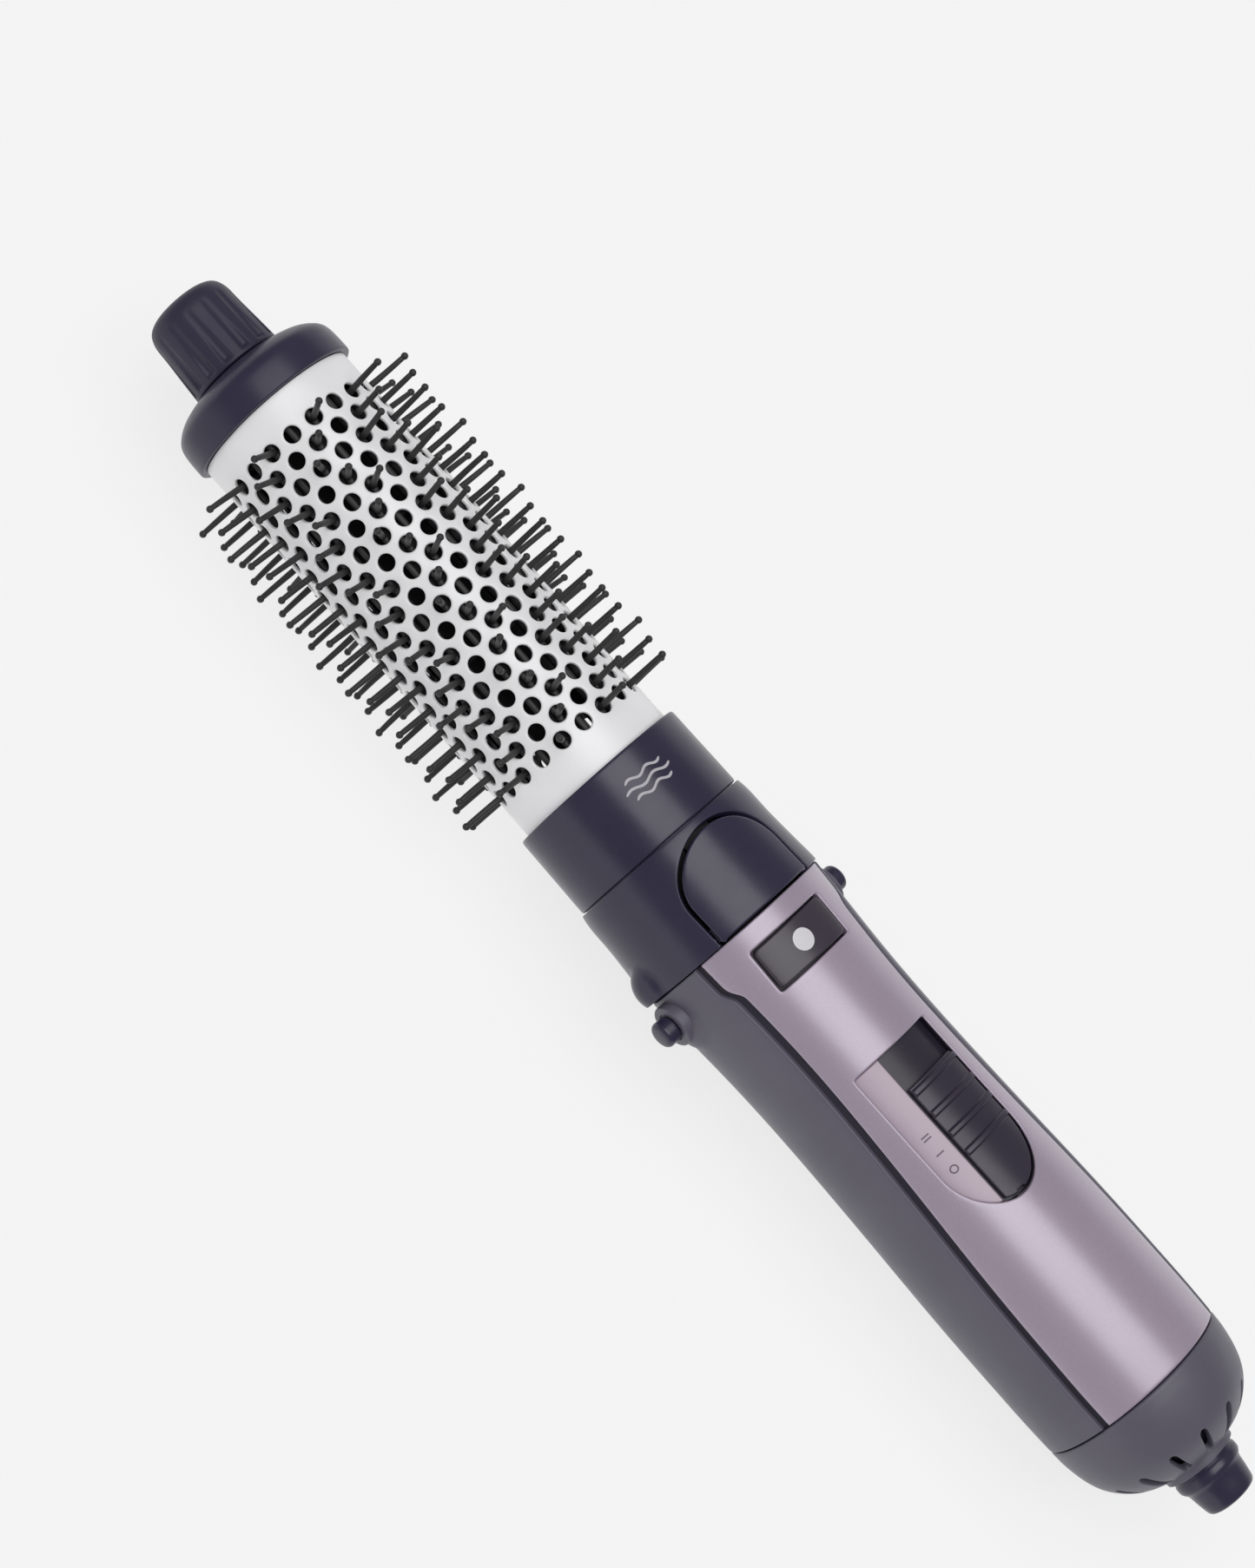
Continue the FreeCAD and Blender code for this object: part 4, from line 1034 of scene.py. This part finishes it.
def make_switch():
    # label strip
    edge = 0.3
    g = 0.12
    rad = lambda s: HANDLE(s) - 0.9
    lab = lambda s, y: np.maximum(sd_d(s, y, DOP[0] + g + edge, DOP[1] - g - edge, DOP[2] - g - edge, DOP[3] - edge), 4.55 + edge - y)
    us = steps([DOP[0] + g + edge, DOP[1] - g - edge], 0.32)
    ys = np.linspace(4.55 + edge, DOP[2] - g - edge, 24)
    v, f = patch(lambda u, v: pos(u, v, rad(u)), us, lambda u: np.arcsin(ys / rad(u)),
                 keep=lambda u, v: lab(u, rad(u) * np.sin(v)) < 0, snap=snapper(lab, rad, 0.4), r=edge, depth=1.25)
    ob = Build().add(v, f).make("switch_label_strip_shape", "handle", 42)
    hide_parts("switch_label_strip")
    dress(ob, "label")
    # position marks: off ring, one bar, two bars
    b = Build()

    def stroke(sa, ya, sb, yb, w=0.17):
        pts = [(sa, ya), (sb, yb)]
        d = np.array([sb - sa, yb - ya])
        d /= np.linalg.norm(d)
        o = np.array([-d[1], d[0]]) * w
        verts = []
        for dr in (-0.05, 0.035):
            for (s, y), sg in ((pts[0], 1), (pts[0], -1), (pts[1], -1), (pts[1], 1)):
                yy = y + o[1] * sg
                ssn = s + o[0] * sg
                verts.append(pos(ssn, math.asin(yy / float(rad(ssn))), float(rad(ssn)) + dr))
        faces = [(0, 1, 2, 3), (7, 6, 5, 4), (0, 4, 5, 1), (1, 5, 6, 2), (2, 6, 7, 3), (3, 7, 4, 0)]
        b.add(np.array(verts), faces)
    yc = 7.6
    stroke(229.6, yc - 0.9, 229.6, yc + 0.9)
    stroke(230.4, yc - 0.9, 230.4, yc + 0.9)
    stroke(234.2, yc - 0.9, 234.2, yc + 0.9)
    verts, faces = [], []
    n = 28
    for k in range(n):
        a = 2 * math.pi * k / n
        for rr, dr in ((0.62, -0.05), (0.62, 0.035), (0.95, 0.035), (0.95, -0.05)):
            s, y = 238.4 + rr * math.cos(a), yc + rr * math.sin(a)
            verts.append(pos(s, math.asin(y / float(rad(s))), float(rad(s)) + dr))
    for k in range(n):
        for j in range(4):
            faces.append((k * 4 + j, k * 4 + (j + 1) % 4, ((k + 1) % n) * 4 + (j + 1) % 4, ((k + 1) % n) * 4 + j))
    b.add(np.array(verts), faces)
    mk = b.make("switch_position_marks", "handle", 42)
    dress(mk, "mark_white", "print_dark")

    # floor of the slider track, with the slot for the stem
    edge = 0.1
    radt = lambda s: HANDLE(s) - 1.85
    trk = lambda s, y: np.maximum(np.maximum(sd_d(s, y, DOP[0] + g + edge, DOP[1] - g - edge, DOP[2] - g - edge, DOP[3] - edge), y - 4.35),
                                  -sd_box(s, y + 3.2, 222.6 - edge, 237.4 + edge, 1.5 + edge, 0.4))
    us = steps([DOP[0] + g + edge, 222.6 - edge, 237.4 + edge, DOP[1] - g - edge], 0.4)
    ys = np.linspace(-(DOP[2] - g - edge), 4.35, 44)
    v, f = patch(lambda u, v: pos(u, v, radt(u)), us, lambda u: np.arcsin(ys / radt(u)),
                 keep=lambda u, v: trk(u, radt(u) * np.sin(v)) < 0, snap=snapper(trk, radt, 0.4), r=edge, depth=0.7)
    b = Build().add(v, f)
    way = [(x, -DOP[2]) for x in np.linspace(DOP[0] + 0.15, DOP[1] - DOP[3], 28)]
    way += [(DOP[1] - DOP[3] + DOP[3] * math.sin(t), -DOP[2] * math.cos(t)) for t in np.linspace(0.06, 1.75, 40)]
    way = np.array(way)
    tan = np.gradient(way, axis=0)
    tan /= np.hypot(tan[:, 0], tan[:, 1])[:, None]
    nrm = np.stack([-tan[:, 1], tan[:, 0]], 1)
    nrm *= np.sign(np.sum((np.array([230.0, 0.0]) - way) * nrm, 1))[:, None]
    verts, faces = [], []
    for (s_, y_), d in zip(way, nrm):
        for off, dep in ((0.08, 2.0), (0.08, 0.40), (0.28, 0.40), (0.28, 2.0)):
            ss, yy = s_ + d[0] * off, y_ + d[1] * off
            r = float(HANDLE(ss)) - dep
            verts.append((TIP_X - ss, yy, AXIS_Z + math.sqrt(r * r - yy * yy)))
    for i in range(len(way) - 1):
        for j in range(4):
            j2 = (j + 1) % 4
            faces.append((i * 4 + j, i * 4 + j2, (i + 1) * 4 + j2, (i + 1) * 4 + j))
    faces.append((0, 1, 2, 3))
    m = (len(way) - 1) * 4
    faces.append((m + 3, m + 2, m + 1, m))
    b.add(np.array(verts), faces)
    ob = b.make("switch_track_shape", "handle", 42)
    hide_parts("switch_track")
    dress(ob, "inner_nylon", "track_plastic")

    # slider with four cross ridges
    edge = 0.32
    ridges = (221.75, 227.4, 232.7, 237.6)

    def rads(s):
        r = HANDLE(s) - 0.35
        for c in ridges:
            d = np.abs(np.asarray(s, float) - c)
            r = r + 0.7 * (1 - smoothstep(0.42, 0.86, d))
        return r
    sld = lambda s, y: np.maximum(np.maximum(sd_d(s, y, 220.4 + edge, 250.7 - edge, 10.35 - edge, 13.0 - edge, 0.6), y - 4.05 + edge), 0 * s - 50)
    us = steps([220.4 + edge, 249.9], 0.16)
    ys = np.linspace(-(10.35 - edge), 4.05 - edge, 48)
    base = lambda s: HANDLE(s) - 0.35

    def surf(u, v):
        y = base(u) * np.sin(v)
        z = np.sqrt(np.maximum(rads(u) ** 2 - y * y, 1.0))
        return np.stack([TIP_X - u, y, AXIS_Z + z], -1)
    v, f = patch(surf, us, lambda u: np.arcsin(ys / base(u)), keep=lambda u, v: sld(u, base(u) * np.sin(v)) < 0,
                 snap=snapper(sld, base, 0.4), r=edge, depth=1.15)
    b = Build().add(v, f)
    b.add(*brick(232.0, 236.4, -4.3, -2.1, 16.5, 19.6))
    ob = b.make("switch_slider_shape", "switch_slider", 42)
    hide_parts("switch_slider")
    dress(ob, "slider_plastic")


# ------------------------------------------------------------------ tail
def make_tail():
    prof = [(298.3, 21.75), (298.42, 22.02), (298.7, 22.16), (299.4, 22.17), (301.0, 22.08), (303.0, 21.85), (305.5, 21.4),
            (308.0, 20.72), (310.4, 19.7), (312.5, 18.3), (314.3, 16.6), (315.8, 14.7), (316.8, 12.9), (317.45, 11.3),
            (317.9, 9.9), (318.0, 9.2), (318.0, 8.0)]
    P = np.array(prof)
    L = np.concatenate([[0], np.cumsum(np.hypot(*np.diff(P, axis=0).T))])
    S = lambda u: np.interp(u, L, P[:, 0])
    R = lambda u: np.interp(u, L, P[:, 1])
    # finer smooth version of the profile
    fs, fr = spline(list(zip(L, P[:, 0]))), spline(list(zip(L, P[:, 1])))
    uu = np.linspace(0, L[-1], 400)
    rr = fr(uu)
    k0 = int(np.argmax(rr))
    u_of_r = lambda r: np.interp(-np.asarray(r, float), -rr[k0:], uu[k0:])
    edge = 0.25

    def slot(r, w):
        qx = np.abs(r - 15.3) - 3.7 - edge + 1.1
        qy = np.abs(w) - 1.0 - edge + 1.1
        return np.hypot(np.maximum(qx, 0), np.maximum(qy, 0)) + np.minimum(np.maximum(qx, qy), 0) - 1.1

    def local(v):
        k = np.round((v - np.pi / 14) / (2 * np.pi / 14))
        return v - np.pi / 14 - k * 2 * np.pi / 14, np.pi / 14 + k * 2 * np.pi / 14

    def field(u, v):
        d, _ = local(v)
        r = fr(u)
        return np.where(fs(u) > 300.5, slot(r * np.cos(d), r * np.sin(d)), 5.0)

    def snap(u, v):
        u, v = u.copy(), v.copy()
        near = (np.abs(field(u, v)) < 0.7) & (fs(u) > 303)
        d, c = local(v[near])
        r = fr(u[near])
        a, w = r * np.cos(d), r * np.sin(d)
        for _ in range(5):
            e = 1e-3
            f = slot(a, w)
            ga = (slot(a + e, w) - slot(a - e, w)) / (2 * e)
            gw = (slot(a, w + e) - slot(a, w - e)) / (2 * e)
            q = f / np.maximum(ga * ga + gw * gw, 1e-6)
            a, w = a - np.clip(q * ga, -0.5, 0.5), w - np.clip(q * gw, -0.5, 0.5)
        r = np.hypot(a, w)
        u[near] = u_of_r(r)
        v[near] = c + np.arctan2(w, a)
        return u, v
    us = np.concatenate([np.linspace(0, 3.0, 10), np.linspace(3.0, L[-1] - 1.6, 56)[1:], np.linspace(L[-1] - 1.6, L[-1], 6)[1:]])
    phis = np.linspace(0, 2 * np.pi, 14 * 32, endpoint=False)
    surf = lambda u, v: pos(fs(u), v, fr(u))
    v, f = patch(surf, us, lambda u: phis, keep=lambda u, v: field(u, v) > 0, snap=snap, r=edge, depth=1.7, wrap=True)
    b = Build().add(v, f)
    v, f = lathe([(293.6, 18.5), (293.6, 19.6), (300.0, 19.75), (300.0, 18.7)], 120, closed=True)
    b.add(v, f)
    ob = b.make("tail_cap_shape", "handle", 42)
    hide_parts("tail_cap")
    dress(ob, "grey_shell")
    prof = [(311.6, 3.7), (311.6, 9.5), (313.9, 9.5), (313.9, 7.2), (319.8, 7.2), (320.4, 7.3), (320.9, 7.62), (321.4, 7.86),
            (322.1, 7.9), (322.8, 7.84), (323.3, 7.55), (323.9, 7.05), (324.6, 6.85), (326.5, 6.6), (328.6, 6.25), (329.4, 6.05),
            (329.8, 5.75), (330.0, 5.3), (330.0, 4.1), (329.85, 3.75), (329.4, 3.6), (320.0, 3.6)]
    v, f = lathe(prof, 120, closed=True)
    ob = Build().add(v, f).make("cord_swivel_shape", "cord_swivel", 50)
    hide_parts("cord_swivel")
    dress(ob, "dark_plastic")


make_knob()
make_cap()
make_barrel()
make_bristles()
make_collar()
make_nose()
make_key()
make_pins()
make_front()
make_rear()
make_button()
make_switch()
make_tail()

# the CAD pieces that stay: finish of their own
slots = {}
for part in frame["record"].get("subparts", []):
    slots[part.get("node") or part.get("name")] = part.get("material_slot") or part.get("slot") or part.get("material")
for name, ob in frame["nodes"].items():
    slot_name = slots.get(name) or "inner_nylon"
    if slot_name in M:
        ob.data.materials.clear()
        ob.data.materials.append(M[slot_name])

# ------------------------------------------------------------------ stage, light, camera
floor_mat = material("pale_floor", (0.15, 0.15, 0.15, 1), 0.9, spec=0.0, grain=(3.0, 0.01), tint=(60.0, 0.004))
_b = next(n for n in floor_mat.node_tree.nodes if n.type == "BSDF_PRINCIPLED")
_b.inputs["Emission Color"].default_value = (1, 1, 1, 1)
_b.inputs["Emission Strength"].default_value = 0.785
me = bpy.data.meshes.new("floor")
g = 6.0
me.from_pydata([(-g, -g, 0), (g, -g, 0), (g, g, 0), (-g, g, 0), (-g, -g, -0.02), (g, -g, -0.02), (g, g, -0.02), (-g, g, -0.02)], [],
               [(0, 1, 2, 3), (7, 6, 5, 4), (0, 4, 5, 1), (1, 5, 6, 2), (2, 6, 7, 3), (3, 7, 4, 0)])
floor = bpy.data.objects.new("floor", me)
COL.objects.link(floor)
me.materials.append(floor_mat)
floor.location.z = -0.0003

world = bpy.data.worlds.new("studio")
bpy.context.scene.world = world
world.use_nodes = True
bg = next(n for n in world.node_tree.nodes if n.type == "BACKGROUND")
bg.inputs["Color"].default_value = (1.0, 1.0, 1.0, 1)
bg.inputs["Strength"].default_value = 0.26


def area(name, direction, dist, size, power, target=(0.0, 0.0, 0.02), size_y=None):
    d = Vector(direction).normalized()
    lamp = bpy.data.lights.new(name, "AREA")
    lamp.energy = power
    lamp.shape = "RECTANGLE"
    lamp.size = size
    lamp.size_y = size_y or size
    ob = bpy.data.objects.new(name, lamp)
    COL.objects.link(ob)
    t = Vector(target)
    ob.location = t + d * dist
    ob.rotation_euler = (-d).to_track_quat("-Z", "Y").to_euler()
    return ob


def at_angle(deg):
    a = math.radians(deg)
    return (0.0, math.sin(a), math.cos(a))


area("key_softbox", at_angle(1), 1.6, 1.6, 17.0, size_y=1.33)
area("near_panel", at_angle(84), 2.0, 3.0, 4.5, size_y=0.6)
area("far_panel", at_angle(-84), 2.0, 3.0, 2.6, size_y=0.6)

cam_data = bpy.data.cameras.new("camera")
cam_data.lens = 76.0
cam_data.sensor_width = 36.0
cam_data.sensor_fit = "AUTO"
cam_data.dof.use_dof = False
cam = bpy.data.objects.new("camera", cam_data)
COL.objects.link(cam)
a26 = math.radians(26.0)
cdir = Vector((0.0, math.sin(a26), math.cos(a26)))
mdir = Vector((0.0, -math.cos(a26), math.sin(a26)))
eye = Vector(((TIP_X - 152.7) * MM, 0, AXIS_Z * MM)) + cdir * 0.6936
look = Vector(((TIP_X - 135.6) * MM, 0, AXIS_Z * MM)) + mdir * 0.00381
fwd = (look - eye).normalized()
xp = Vector((1, 0, 0))
xp = (xp - fwd * xp.dot(fwd)).normalized()
mp_ = (mdir - fwd * mdir.dot(fwd) - xp * mdir.dot(xp)).normalized()
right = (-0.6622 * xp + 0.7496 * mp_).normalized()
up = (0.7496 * xp + 0.6622 * mp_).normalized()
up = (up - right * up.dot(right)).normalized()
rot = Matrix((right, up, -fwd)).transposed()
cam.matrix_world = Matrix.Translation(eye) @ rot.to_4x4()
bpy.context.scene.camera = cam
bpy.context.scene.view_settings.view_transform = "Standard"
